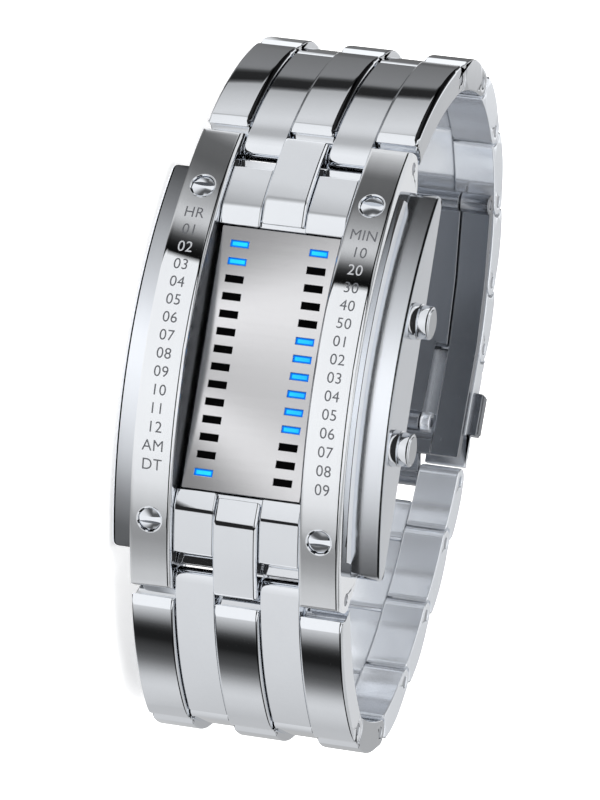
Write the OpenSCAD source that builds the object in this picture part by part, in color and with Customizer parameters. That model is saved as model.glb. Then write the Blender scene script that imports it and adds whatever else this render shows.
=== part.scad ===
// LED wrist watch on a five-column steel bracelet, lying on its left wing.
// +X points to 6 o'clock, -Y is the way the dial faces, and +Z points to 3 o'clock.
// The origin lies on the outer face of the left wing, level with the face of the display.
// Depth is measured from there along +Y, so what stands above the display has a negative depth.

/* [Head] */
// Radius of the curved top of both rails
rail_radius = 42; // [40:0.5:46]
// Height of the rail's highest point above the display's face
rail_rise = 4.1; // [3.9:0.1:4.3]
// Depth of the flat underside of the rails at their ends
rail_seat = 1.7; // [1.3:0.1:2.1]
// Thickness of the case beyond its battery room at each end
end_wall = 4.1; // [3.9:0.1:4.5]
// Depth of the back edge of the case
case_depth = 6.3; // [6.1:0.1:6.7]
// Thickness of the case wall beside the battery
case_wall = 1.05; // [1:0.05:1.15]
// Thickness of the case back
back_t = 0.8; // [0.6:0.1:1.2]
// Radius of the upright corners of the case and its back
case_corner = 0.6; // [0.4:0.1:0.8]

/* [Columns] */
// Width of the two outer columns, which is also the width of the rails
outer_col = 4.6; // [4.4:0.1:4.8]
// Width of the two columns beside the middle one
inner_col = 4.5; // [4.3:0.1:4.7]
// Width of the middle column
centre_col = 4.8; // [4.6:0.1:5]
// Gap on each side of an inner column
side_gap = 0.1; // [0.06:0.02:0.16]

/* [Display] */
// Thickness of the display plate
dial_t = 0.5; // [0.4:0.1:0.7]
// Half length of the display plate
dial_half_l = 13.8; // [13.7:0.1:14]
// Half width of the display plate
dial_half_w = 6.4; // [6.2:0.1:6.6]
// Rows of light slots in each column
slot_rows = 14; // [10:1:14]
// Distance between two rows of slots
slot_pitch = 1.85; // [1.7:0.05:1.9]
// Length of one light slot
slot_l = 2; // [1.6:0.1:2.2]
// Width of one light slot
slot_w = 0.75; // [0.5:0.05:0.9]
// Distance of a slot column from the middle of the dial
slot_offset = 4.3; // [4:0.1:4.4]
// Play around a window in its slot
window_play = 0.04; // [0.02:0.01:0.06]

/* [Movement] */
// Thickness of the circuit board
board_t = 0.5; // [0.4:0.1:0.6]
// Height of one light chip
chip_h = 0.6; // [0.5:0.1:0.7]
// Radius of the coin cell
cell_r = 8; // [7.5:0.1:8.4]
// Thickness of the coin cell
cell_t = 2; // [1.8:0.1:2.2]
// Play around the pieces inside the case
inside_play = 0.1; // [0.05:0.05:0.15]

/* [Wings] */
// Width of a wing bar
wing_w = 2.5; // [2.4:0.1:3]
// Gap between a rail and the wing beside it
wing_gap = 0.6; // [0.5:0.1:0.8]
// Half length of a wing
wing_half_l = 20.3; // [19.5:0.1:20.4]
// Height of the wing's highest point above the display's face
wing_rise = 0.1; // [0.1:0.1:0.3]
// Depth of the wing's lower edge
wing_floor = 7.3; // [7.2:0.1:7.7]
// Radius of the wing's curved top
wing_radius = 40; // [39.5:0.5:46]
// Radius of the wing's rounded end corners
wing_corner = 1.1; // [0.6:0.1:1.1]

/* [Pushers] */
// Distance of each pusher from the middle of the wing
pusher_offset = 6.65; // [6:0.05:6.8]
// Depth of the pusher axis
pusher_depth = 3; // [3:0.1:3.3]
// Radius of the pusher's ring
ring_r = 1.9; // [1.8:0.05:1.95]
// Height of the ring above the wing
ring_h = 0.8; // [0.6:0.1:1]
// Radius of the pusher's cap
cap_r = 1.75; // [1.6:0.05:1.9]
// Height of the cap above its ring
cap_h = 1.3; // [1:0.1:1.6]
// Radius of the pusher's stem
stem_r = 0.7; // [0.6:0.05:0.75]
// Travel of a pusher
pusher_travel = 0.6; // [0.4:0.1:0.6]
// Running clearance round a pusher
pusher_play = 0.04; // [0.02:0.01:0.08]

/* [Screws] */
// Distance of a rail screw from the middle of the rail
rail_screw_x = 17.6; // [17.4:0.1:17.8]
// Radius of a rail screw's head
rail_screw_r = 1.5; // [1.2:0.1:1.6]
// Radius of a rail screw's shank
rail_shank_r = 0.6; // [0.5:0.05:0.7]
// Length of a rail screw's shank
rail_shank_l = 3.4; // [3:0.1:3.5]
// Radius of a back screw's head
back_screw_r = 0.8; // [0.6:0.05:0.9]
// Radius of a back screw's shank
back_shank_r = 0.4; // [0.3:0.05:0.5]
// Length of a back screw
back_screw_l = 1.6; // [1.4:0.1:1.7]

/* [Bracelet] */
// Distance of a lug pin from the middle of the watch
lug_x = 22.7; // [22.6:0.1:22.8]
// Depth of a lug pin
lug_depth = 5.2; // [5.1:0.1:5.3]
// Half thickness of the outer and middle columns
outer_half_t = 1.45; // [1.4:0.05:1.5]
// Half thickness of the inner columns
inner_half_t = 1.15; // [1.05:0.05:1.25]
// Gap round a knuckle in its hollow
knuckle_gap = 0.25; // [0.2:0.05:0.3]
// Distance between the pins of the long first link
first_l = 17.6; // [16:0.1:20]
// Distance between the pins of the four links after it
pitch = 9; // [8:0.1:10]
// Distance between the pins of the short last link
last_l = 7.4; // [6.6:0.1:8.4]
// Radius of the first link's curve
first_radius = 32; // [28:1:40]
// Radius of the short links' curve
link_radius = 24; // [20:1:36]
// How far the middle of a raised column stands above a plain link
crown = 0.5; // [0.3:0.05:0.6]
// Radius of a bracelet pin
pin_r = 0.6; // [0.45:0.05:0.65]
// Running clearance round a pin
pin_play = 0.03; // [0.02:0.01:0.06]
// How far a pin's ends lie below the side of the bracelet
pin_recess = 0.1; // [0.05:0.05:0.3]

/* [Clasp] */
// Thickness of the clasp's leaf and blade
leaf_t = 1; // [0.8:0.1:1.2]
// Gap between the leaf and what lies round it
leaf_gap = 0.3; // [0.2:0.05:0.35]
// Width of each leg of the leaf
leg_w = 3.2; // [2.8:0.1:3.4]
// Distance of the blade's bar from the leaf's pin
bar_inset = 5.6; // [5.4:0.1:5.8]
// Radius of the clasp's hinge knuckles
hinge_r = 1.1; // [1:0.05:1.2]
// Radius of the clasp's hinge pin and spring bar
hinge_pin_r = 0.5; // [0.4:0.05:0.6]
// Length of a side button along the bracelet
button_l = 4.7; // [4:0.1:5.2]
// Height of a side button
button_h = 1.6; // [1.3:0.1:1.7]
// How far a side button stands out
button_out = 1.2; // [0.9:0.1:1.3]
// How far a side button reaches into the cover
button_in = 4; // [3:0.1:4.4]
// Travel of a side button
button_travel = 0.8; // [0.5:0.1:0.9]
// Running clearance round a side button
button_play = 0.05; // [0.03:0.01:0.08]
// Distance between the grooves across the cover
groove_pitch = 2.5; // [2.3:0.1:2.8]

/* [Hidden] */
$fn = 96;

// Slopes of the links of the closed bracelet, from the lug round to the clasp, in degrees
upper_slopes = [47.5, 82, 115, 140, 163, 173];
lower_slopes = [44.5, 92, 132, 149, 158, 163];
// Rows whose lights are on in the left and the right column, counted from 12 o'clock
left_lit = [0, 1, 13];
right_lit = [0, 5, 6, 7, 8, 9, 10];

eps = 0.01;
bracelet_w = 2 * outer_col + 2 * inner_col + centre_col;
half_w = bracelet_w / 2;
mid_z = half_w + wing_gap + wing_w;
wing_top_z = 2 * mid_z;
inner_edge = half_w - outer_col;
centre_edge = centre_col / 2;
case_half_w = half_w - 0.1;

pin_count = 6;
link_lengths = [first_l, pitch, pitch, pitch, pitch, last_l];
link_radii = [first_radius, link_radius, link_radius, link_radius, link_radius, link_radius];
crowns = crown * [0.3, 1, 1, 1, 1, 1];
face_radii = [32, 11, 11, 11, 11, 11];
near_end = 0.9;
web_inset = 1;

// Pin number i of one side: distance from the middle of the watch, and depth
function pin_at(slopes, i) = i == 0
    ? [lug_x, lug_depth]
    : pin_at(slopes, i - 1) + link_lengths[i - 1] * [cos(slopes[i - 1]), sin(slopes[i - 1])];
function mirrored(p) = [-p.x, p.y];
function turned(p, angle) = [p.x * cos(angle) - p.y * sin(angle), p.x * sin(angle) + p.y * cos(angle)];

cover_start = mirrored(pin_at(upper_slopes, pin_count));
cover_end = pin_at(lower_slopes, pin_count);
cover_line = cover_end - cover_start;
cover_l = norm(cover_line);
cover_tilt = atan2(cover_line.y, cover_line.x);

// The leaf and blade run parallel to the cover and the last two upper links, one gap inside them
leaf_offset = outer_half_t + leaf_gap + leaf_t / 2;
hinge_offset = outer_half_t + leaf_gap + hinge_r;
function heading(a, b) = atan2(b.y - a.y, b.x - a.x);
function inside_of(p, angle, d) = p + d * [sin(angle), -cos(angle)];
function corner_inside(a, p, b, d) = let (t0 = heading(a, p), t1 = heading(p, b))
    inside_of(p, (t0 + t1) / 2, d / cos((t1 - t0) / 2));
hinge_joint = mirrored(pin_at(upper_slopes, 4));
leaf_joint = mirrored(pin_at(upper_slopes, 5));
leaf_hinge = inside_of(hinge_joint, heading(hinge_joint, leaf_joint), hinge_offset);
leaf_bend_1 = corner_inside(hinge_joint, leaf_joint, cover_start, leaf_offset);
leaf_bend_2 = corner_inside(leaf_joint, cover_start, cover_end, leaf_offset);
hinge_root = inside_of(hinge_joint, heading(hinge_joint, leaf_joint), leaf_offset);
cover_way = [cos(cover_tilt), sin(cover_tilt)];
leaf_stop = 2.2;
cross_start = 1.8;
cover_stop = outer_half_t + 0.3;
pocket_start = 0.6;
pocket_roof = 1;
leaf_end = inside_of(cover_end, cover_tilt, leaf_offset) - leaf_stop * cover_way;
bar_root = inside_of(cover_end, cover_tilt, leaf_offset) - bar_inset * cover_way;
blade_bar = inside_of(cover_end, cover_tilt, hinge_offset) - bar_inset * cover_way;
neck_half_w = 0.55;
open_bore_wall = 1.5;
notch_l = 2.9;
blade_half_w = half_w - side_gap - leg_w - 0.2;
ear_t = 1.1;
ear_play = 0.15;
bar_half_w = blade_half_w - ear_t - 2 * ear_play;

// How deep the pieces of the movement lie
board_top = rail_seat + 0.7;
board_bottom = board_top + board_t;
board_half_l = 13.1;
board_half_w = 9.35;
cavity_half_l = board_half_l + 0.2;
case_half_l = cavity_half_l + end_wall;
cavity_half_w = case_half_w - case_wall;
cavity_top = board_top - 0.2;
window_half_l = dial_half_l - 0.7;
window_half_w = dial_half_w - 0.6;
window_sink = 0.12;
clip_t = 0.2;
clip_half_l = 10;
clip_half_w = 2;
clip_leg_l = 1.1;
pad_rise = 0.1;
cell_top = case_depth - pad_rise - cell_t;
end_floor = 4;
end_half_l = 20.4;
seat_half_l = lug_x - inner_half_t - knuckle_gap;
end_inner_drop = 0.75;
end_centre_drop = 0.1;
end_bevel_l = 1.85;
dial_gap = 0.15;
gasket_w = 0.5;
gasket_t = 0.4;
screw_inset = 1.45;
screw_sink = 0.9;

// The pushers: how far ring and spring reach into the wing, and where stem, seal and contact lie
ring_in = 0.8;
spring_room = 2;
ring_top_z = wing_top_z + ring_h;
stem_end = cavity_half_w - 0.1;
foot_half_l = 14;
seal_r = stem_r + 0.3;
seal_t = 0.4;
seal_w = case_half_w - 0.75;
contact_t = 0.25;
contact_half_l = 0.8;

// The lugs: radius kept free for a lug's corner, and the low heel under each lug
lug_clear = 2.35;
lug = [lug_x, lug_depth];
heel = lug + [-2.2, 1.2];

// A box between two corners given as depth and width limits, width counted from the middle
module slab(x0, x1, depth0, depth1, w0, w1) {
    translate([x0, depth0, mid_z + w0]) cube([x1 - x0, depth1 - depth0, w1 - w0]);
}

// An outline in length and depth, extruded between two widths
module across(w0, w1) {
    translate([0, 0, mid_z + w0]) linear_extrude(w1 - w0) children();
}

module bore_at(p, r, w0 = -2 * half_w, w1 = 2 * half_w) {
    translate([p.x, p.y, mid_z + w0]) cylinder(r = r, h = w1 - w0);
}

module both_ends() {
    children();
    mirror([1, 0, 0]) children();
}

module both_sides() {
    children();
    translate([0, 0, 2 * mid_z]) mirror([0, 0, 1]) children();
}

// Everything under a circle of the given radius whose highest point stands at the given rise
module under_arc(radius, rise, half_l, floor_depth) {
    intersection() {
        translate([0, radius - rise]) circle(r = radius, $fn = 240);
        translate([-half_l, -rise]) square([2 * half_l, floor_depth + rise]);
    }
}

// Depth of such a circle at a distance from the middle
function arc_depth(radius, rise, x) = radius - rise - sqrt(pow(radius, 2) - pow(x, 2));

// Side outline of a rail: curved top, and a lug with its heel beyond each end of the case
module rail_outline() {
    way = (lug - heel) / norm(lug - heel);
    out = outer_half_t * [-way.y, way.x];
    under_arc(rail_radius, rail_rise, lug_x, rail_seat);
    both_ends() {
        intersection() {
            under_arc(rail_radius, rail_rise, lug_x + outer_half_t, lug_depth);
            translate([case_half_l + 0.05, 0]) square([lug_x, lug_depth]);
        }
        translate(lug) circle(r = outer_half_t);
        translate(heel) circle(r = outer_half_t);
        polygon([[case_half_l + 0.05, rail_seat - 0.2], lug, lug + out, heel + out, heel,
            [heel.x, heel.y + outer_half_t], [case_half_l + 0.05, heel.y + outer_half_t]]);
    }
}

// Places a child at a rail screw, its axis square to the rail's top
module at_rail_screw() {
    lean = asin(rail_screw_x / rail_radius);
    translate([rail_screw_x, arc_depth(rail_radius, rail_rise, rail_screw_x), mid_z + half_w - outer_col / 2])
        rotate([0, 0, lean]) rotate([90, 0, 0]) children();
}

module rail(side) {
    w0 = side > 0 ? inner_edge : -half_w;
    difference() {
        across(w0, w0 + outer_col) rail_outline();
        both_ends() {
            bore_at(lug, pin_r + eps);
            if (side > 0) rail_screw_hole();
            else translate([0, 0, 2 * mid_z]) mirror([0, 0, 1]) rail_screw_hole();
        }
    }
}

module rail_screw_hole() {
    at_rail_screw() {
        translate([0, 0, -screw_sink]) cylinder(r = rail_screw_r + 0.1, h = 3);
        translate([0, 0, -screw_sink - rail_shank_l - 0.3]) cylinder(r = rail_shank_r + eps, h = rail_shank_l + 1);
    }
}

module rail_screw() {
    at_rail_screw() difference() {
        union() {
            translate([0, 0, -screw_sink]) cylinder(r = rail_screw_r, h = screw_sink - 0.15);
            translate([0, 0, -0.15]) cylinder(r1 = rail_screw_r, r2 = rail_screw_r - 0.2, h = 0.2);
            translate([0, 0, -screw_sink - rail_shank_l]) cylinder(r = rail_shank_r, h = rail_shank_l + eps);
        }
        rotate([0, 0, 90]) translate([-2, -0.25, -0.35]) cube([4, 0.5, 1]);
    }
}

// A block with rounded upright corners, made from true cylinders
module rounded_block(half_l, half_wide, corner, depth0, depth1) {
    slab(-half_l + corner, half_l - corner, depth0, depth1, -half_wide, half_wide);
    slab(-half_l, half_l, depth0, depth1, -half_wide + corner, half_wide - corner);
    for (i = [-1, 1], j = [-1, 1])
        translate([i * (half_l - corner), depth0, mid_z + j * (half_wide - corner)])
            rotate([-90, 0, 0]) cylinder(r = corner, h = depth1 - depth0);
}

module back_screw_places() {
    for (i = [-1, 1], j = [-1, 1])
        translate([i * (case_half_l - screw_inset), case_depth, mid_z + j * (case_half_w - screw_inset)])
            rotate([-90, 0, 0]) children();
}

module pusher_places() {
    for (i = [-1, 1]) translate([i * pusher_offset, pusher_depth, 0]) children();
}

module case_body() {
    end_x = dial_half_l + dial_gap;
    color("silver") difference() {
        union() {
            rounded_block(case_half_l, case_half_w, case_corner, rail_seat, case_depth);
            slab(-end_half_l, end_half_l, end_floor, case_depth, -inner_edge + side_gap, inner_edge - side_gap);
            for (w = [-inner_edge, centre_edge])
                slab(-seat_half_l, seat_half_l, end_floor, case_depth, w + side_gap, w + inner_col - side_gap);
            slab(-dial_half_l, dial_half_l, dial_t, rail_seat + eps, -dial_half_w, dial_half_w);
        }
        slab(-cavity_half_l, cavity_half_l, cavity_top, case_depth + 1, -cavity_half_w, cavity_half_w);
        slab(-window_half_l, window_half_l, -rail_rise, case_depth, -window_half_w, window_half_w);
        both_ends() slab(end_x, case_half_l + 1, rail_seat - 1, end_floor, -inner_edge, inner_edge);
        gasket_ring(gasket_w + 0.1, gasket_t, eps);
        back_screw_places() translate([0, 0, -back_screw_l - 0.1]) cylinder(r = back_shank_r + eps, h = 4);
        both_sides() both_ends() rail_screw_hole();
        pusher_places() {
            cylinder_between(stem_r + pusher_play, mid_z + cavity_half_w - 1, wing_top_z);
            cylinder_between(seal_r + eps, mid_z + seal_w - eps, mid_z + seal_w + seal_t + eps);
        }
    }
}

// Square seal ring in the back edge of the case, between its battery and its screws
module gasket_ring(width, height, proud) {
    inner_l = cavity_half_l + 0.2;
    inner_w = cavity_half_w + 0.2;
    difference() {
        slab(-inner_l - width, inner_l + width, case_depth - height, case_depth + proud,
            -inner_w - width, inner_w + width);
        slab(-inner_l, inner_l, case_depth - 1, case_depth + 1, -inner_w, inner_w);
    }
}

module case_back() {
    color("silver") difference() {
        union() {
            rounded_block(case_half_l, case_half_w, case_corner, case_depth, case_depth + back_t);
            slab(-cavity_half_l + 0.3, cavity_half_l - 0.3, case_depth - pad_rise, case_depth + eps,
                -cavity_half_w + 0.3, cavity_half_w - 0.3);
        }
        back_screw_places() {
            translate([0, 0, -1]) cylinder(r = back_shank_r + 0.1, h = 4);
            translate([0, 0, back_t - 0.4]) cylinder(r = back_screw_r + 0.1, h = 2);
        }
    }
}

module back_gasket() {
    color("dimgray") gasket_ring(gasket_w, gasket_t - 0.05, 0);
}

module back_screws() {
    color("gray") back_screw_places() difference() {
        union() {
            translate([0, 0, -back_screw_l + back_t - 0.4]) cylinder(r = back_shank_r, h = back_screw_l);
            translate([0, 0, back_t - 0.4]) cylinder(r = back_screw_r, h = 0.35);
        }
        translate([-1, -0.1, back_t - 0.2]) cube([2, 0.2, 1]);
    }
}

module left_rail() {
    color("silver") rail(-1);
}

module right_rail() {
    color("silver") rail(1);
}

module rail_screws() {
    color("gainsboro") both_sides() both_ends() rail_screw();
}

// Side outline of a wing: curved top, flat underside and rounded end corners
module wing_outline() {
    round_x = wing_half_l - wing_corner;
    end_top = arc_depth(wing_radius, wing_rise, round_x);
    under_arc(wing_radius, wing_rise, round_x, wing_floor);
    both_ends() {
        translate([round_x, end_top + wing_corner]) circle(r = wing_corner);
        translate([round_x, wing_floor - wing_corner]) circle(r = wing_corner);
        translate([round_x - wing_corner, end_top + wing_corner])
            square([2 * wing_corner, wing_floor - end_top - 2 * wing_corner]);
    }
}

// A wing bar at one side, with the foot that carries it on the side of the case
module wing() {
    across(half_w + wing_gap, half_w + wing_gap + wing_w) wing_outline();
    slab(-foot_half_l, foot_half_l, rail_seat + 0.1, case_depth - 0.2, case_half_w, half_w + wing_gap + eps);
}

module left_wing() {
    color("silver") translate([0, 0, 2 * mid_z]) mirror([0, 0, 1]) wing();
}

module right_wing() {
    color("silver") difference() {
        wing();
        pusher_places() {
            cylinder_between(ring_r + pusher_play, wing_top_z - spring_room, wing_top_z + 1);
            cylinder_between(stem_r + pusher_play, mid_z + case_half_w - 1, wing_top_z);
        }
    }
}

// Side outline of one column of an end piece, with its sloping front edge towards the display
module end_outline(drop, half_l, floor_depth) {
    x = dial_half_l + dial_gap;
    rise = rail_rise - drop;
    edge = arc_depth(rail_radius, rise, x + end_bevel_l);
    intersection() {
        under_arc(rail_radius, rise, half_l, floor_depth);
        polygon([[x, -0.1], [x + end_bevel_l, edge], [x + end_bevel_l, -rail_rise],
            [2 * lug_x, -rail_rise], [2 * lug_x, 2 * lug_depth], [x, 2 * lug_depth]]);
    }
}

// The three polished columns between the rails at one end; the middle one carries the lug pin
module end_piece() {
    difference() {
        union() {
            for (w = [-inner_edge, centre_edge]) across(w + side_gap / 2, w + inner_col - side_gap / 2)
                end_outline(end_inner_drop, end_half_l, end_floor);
            across(-centre_edge - side_gap, centre_edge + side_gap)
                end_outline(end_inner_drop + 0.5, end_half_l - 0.4, end_floor);
            across(-centre_edge, centre_edge) difference() {
                union() {
                    end_outline(end_centre_drop, lug_x + outer_half_t, lug_depth);
                    translate(lug) circle(r = outer_half_t);
                }
                translate([0, end_floor]) square([end_half_l + 0.1, lug_depth]);
            }
        }
        bore_at(lug, pin_r + eps);
    }
}

module upper_end_piece() {
    color("silver") mirror([1, 0, 0]) end_piece();
}

module lower_end_piece() {
    color("silver") end_piece();
}

// Places a child at one light slot; side is -1 for the left column and 1 for the right
module at_slot(side, row) {
    translate([(row - (slot_rows - 1) / 2) * slot_pitch, 0, mid_z + side * slot_offset]) children();
}

module slot_block(shrink, depth0, depth1) {
    l = slot_l - 2 * shrink;
    w = slot_w - 2 * shrink;
    translate([-w / 2, depth0, -l / 2]) cube([w, depth1 - depth0, l]);
}

module display_plate() {
    color("lightgray") difference() {
        slab(-dial_half_l, dial_half_l, 0, dial_t, -dial_half_w, dial_half_w);
        for (side = [-1, 1], row = [0:slot_rows - 1]) at_slot(side, row)
            slot_block(0, -1, 2);
    }
}

module window() {
    slot_block(window_play, window_sink, board_top - chip_h);
}

function is_lit(side, row) = len(search(row, side < 0 ? left_lit : right_lit)) > 0;

module lit_windows() {
    color("deepskyblue") for (side = [-1, 1], row = [0:slot_rows - 1])
        if (is_lit(side, row)) at_slot(side, row) window();
}

module dark_windows() {
    color("black") for (side = [-1, 1], row = [0:slot_rows - 1])
        if (!is_lit(side, row)) at_slot(side, row) window();
}

module light_chips() {
    color("white") for (side = [-1, 1], row = [0:slot_rows - 1]) at_slot(side, row)
        translate([-0.4, board_top - chip_h, -0.8]) cube([0.8, chip_h, 1.6]);
}

module circuit_board() {
    color("darkgreen") slab(-board_half_l, board_half_l, board_top, board_bottom, -board_half_w, board_half_w);
}

// Chips on the face of the board, between the two columns of lights
module controller_chip() {
    color("dimgray") slab(-3, 3, board_top - 0.8, board_top, -2.4, 2.4);
}

module quartz_can() {
    color("silver") translate([6, board_top - 0.6, mid_z - 2]) cylinder(r = 0.6, h = 4);
}

module switch_contacts() {
    color("goldenrod") contact_places() {
        translate([-contact_half_l, 0, -contact_t]) cube([2 * contact_half_l, 1.2, contact_t]);
    }
}

module contact_places() {
    for (i = [-1, 1]) translate([i * pusher_offset, board_bottom, mid_z + board_half_w]) children();
}

module coin_cell() {
    color("silver") translate([0, cell_top, mid_z]) rotate([-90, 0, 0]) {
        cylinder(r = cell_r - inside_play, h = cell_t - 0.5);
        cylinder(r = cell_r - 0.9, h = cell_t);
    }
}

// Sprung strip that holds the cell against the board
module cell_clip() {
    color("gainsboro") {
        slab(-clip_half_l, clip_half_l, cell_top - clip_t, cell_top, -clip_half_w, clip_half_w);
        both_ends() slab(clip_half_l - clip_leg_l, clip_half_l, board_bottom, cell_top, -clip_half_w, clip_half_w);
    }
}

// Moulded frame that fills the case round the cell and holds the board
module movement_frame() {
    color("dimgray") difference() {
        slab(-board_half_l, board_half_l, board_bottom, case_depth - 0.2, -board_half_w, board_half_w);
        translate([0, board_bottom - 1, mid_z]) rotate([-90, 0, 0]) cylinder(r = cell_r, h = 9);
        slab(-clip_half_l - 0.1, clip_half_l + 0.1, board_bottom - 1, case_depth,
            -clip_half_w - 0.1, clip_half_w + 0.1);
        contact_places() translate([-contact_half_l - 0.1, -1, -contact_t - 0.1])
            cube([2 * contact_half_l + 0.2, 2.3, 1]);
    }
}

module pusher() {
    cap_top = ring_top_z + cap_h;
    cylinder_between(ring_r, wing_top_z - ring_in, ring_top_z - 0.2);
    translate([0, 0, ring_top_z - 0.2]) cylinder(r1 = ring_r, r2 = ring_r - 0.2, h = 0.2);
    cylinder_between(cap_r - 0.25, ring_top_z - eps, ring_top_z + 0.2);
    cylinder_between(cap_r, ring_top_z + 0.2, cap_top - 0.3);
    translate([0, 0, cap_top - 0.3]) cylinder(r1 = cap_r, r2 = cap_r - 0.3, h = 0.3);
    cylinder_between(stem_r, mid_z + stem_end, wing_top_z - ring_in + eps);
}

module cylinder_between(r, z0, z1) {
    translate([0, 0, z0]) cylinder(r = r, h = z1 - z0);
}

module upper_pusher() {
    color("gainsboro") translate([-pusher_offset, pusher_depth, 0]) pusher();
}

module lower_pusher() {
    color("gainsboro") translate([pusher_offset, pusher_depth, 0]) pusher();
}

module pusher_springs() {
    color("gray") pusher_places() difference() {
        cylinder_between(ring_r - 0.3, wing_top_z - spring_room, wing_top_z - ring_in);
        cylinder_between(ring_r - 0.6, 0, 2 * wing_top_z);
    }
}

module pusher_seals() {
    color("black") pusher_places() difference() {
        cylinder_between(seal_r, mid_z + seal_w, mid_z + seal_w + seal_t);
        cylinder_between(stem_r + pusher_play, 0, 2 * wing_top_z);
    }
}

// Curved bar from pin a to pin b, bulging outwards
module link_bar(a, b, radius, half_t) {
    chord = norm(b - a);
    along = (b - a) / chord;
    outward = [along.y, -along.x];
    centre = (a + b) / 2 - outward * sqrt(pow(radius, 2) - pow(chord / 2, 2));
    reach = 1.2 * (radius + half_t) / radius;
    intersection() {
        translate(centre) difference() {
            circle(r = radius + half_t, $fn = 240);
            circle(r = radius - half_t, $fn = 240);
        }
        polygon([centre, centre + reach * (a - centre), centre + reach * (b - centre)]);
    }
}

// Raised column from pin a to pin b, crowned in its middle and cut back round pin a
module raised_column(a, b, radius, rise, face_r, clear_r) {
    chord = norm(b - a);
    along = (b - a) / chord;
    outward = [along.y, -along.x];
    sag = radius - sqrt(pow(radius, 2) - pow(chord / 2, 2));
    centre = (a + b) / 2 + outward * (sag + outer_half_t + rise - face_r);
    difference() {
        union() {
            intersection() {
                link_bar(a, b, radius, outer_half_t + rise);
                translate(centre) circle(r = face_r, $fn = 240);
            }
            link_bar(a, b, radius, outer_half_t);
            translate(b) circle(r = outer_half_t);
        }
        translate((a + b) / 2 + outward * (sag - radius)) circle(r = radius - outer_half_t, $fn = 240);
        translate(a) circle(r = clear_r);
        translate(a) rotate(heading(a, b)) translate([-4, -5]) square([4 + near_end, 5]);
    }
}

// One bracelet link: three raised columns reach forward to the next pin, and two inner ones back to this pin
module link(slopes, i) {
    a = pin_at(slopes, i);
    b = pin_at(slopes, i + 1);
    radius = link_radii[i];
    outer_clear = outer_half_t + knuckle_gap;
    inner_clear = inner_half_t + knuckle_gap;
    near_clear = i == 0 ? lug_clear : outer_clear;
    open_end = slopes == lower_slopes && i == pin_count - 1;
    difference() {
        union() {
            for (w = [[-half_w, -inner_edge], [-centre_edge, centre_edge], [inner_edge, half_w]])
                across(w[0], w[1]) raised_column(a, b, radius, crowns[i], face_radii[i], near_clear);
            for (w = [-inner_edge, centre_edge])
                across(w + side_gap, w + inner_col - side_gap) difference() {
                    union() {
                        link_bar(a, b, radius, inner_half_t);
                        translate(a) circle(r = inner_half_t);
                    }
                    translate(b) circle(r = inner_clear);
                }
            across(-half_w + web_inset, half_w - web_inset) difference() {
                link_bar(a, b, radius, inner_half_t - 0.35);
                translate(a) circle(r = near_clear + 0.3);
                translate(b) circle(r = outer_clear + 0.3);
            }
        }
        bore_at(a, pin_r + pin_play);
        if (open_end) {
            across(-inner_edge, inner_edge) leaf_passage();
            bore_at(b, pin_r + pin_play, -half_w + open_bore_wall, half_w - open_bore_wall);
        } else bore_at(b, pin_r + eps);
    }
}

// Room that the end of the clasp's leaf needs when it leaves the last lower link inwards or outwards
module leaf_passage() {
    clear = inner_half_t + knuckle_gap;
    way_out = 12;
    way_in = 9;
    translate(cover_end) rotate(heading(leaf_hinge, cover_end) - 90) translate([-1, -way_in]) square([way_out, way_in + clear]);
    translate(cover_end) rotate(80) translate([-1, -clear]) square([way_out, way_in + clear]);
}

module link_pin(slopes, i) {
    p = pin_at(slopes, i);
    bore_at(p, pin_r, -half_w + pin_recess, half_w - pin_recess);
}

module upper_link(i) {
    color("silver") mirror([1, 0, 0]) link(upper_slopes, i - 1);
}

module lower_link(i) {
    color("silver") link(lower_slopes, i - 1);
}

module upper_pin(i) {
    color("gray") mirror([1, 0, 0]) link_pin(upper_slopes, i);
}

module lower_pin(i) {
    color("gray") link_pin(lower_slopes, i);
}

// The bar that joins leaf and bracelet, with its tips drawn in
module open_pin() {
    color("gray") bore_at(cover_end, pin_r, -inner_edge + 2 * side_gap, inner_edge - 2 * side_gap);
}

module lug_pins() {
    color("gray") both_ends() link_pin(lower_slopes, 0);
}

// Puts a child in the cover's own frame: x from the upper pin to the lower one, y outwards
module in_cover() {
    translate(cover_start) rotate(cover_tilt) children();
}

module cover_outline(clear_r) {
    difference() {
        translate([0, -outer_half_t]) square([cover_l - cover_stop, 2 * outer_half_t]);
        circle(r = clear_r);
    }
}

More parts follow.
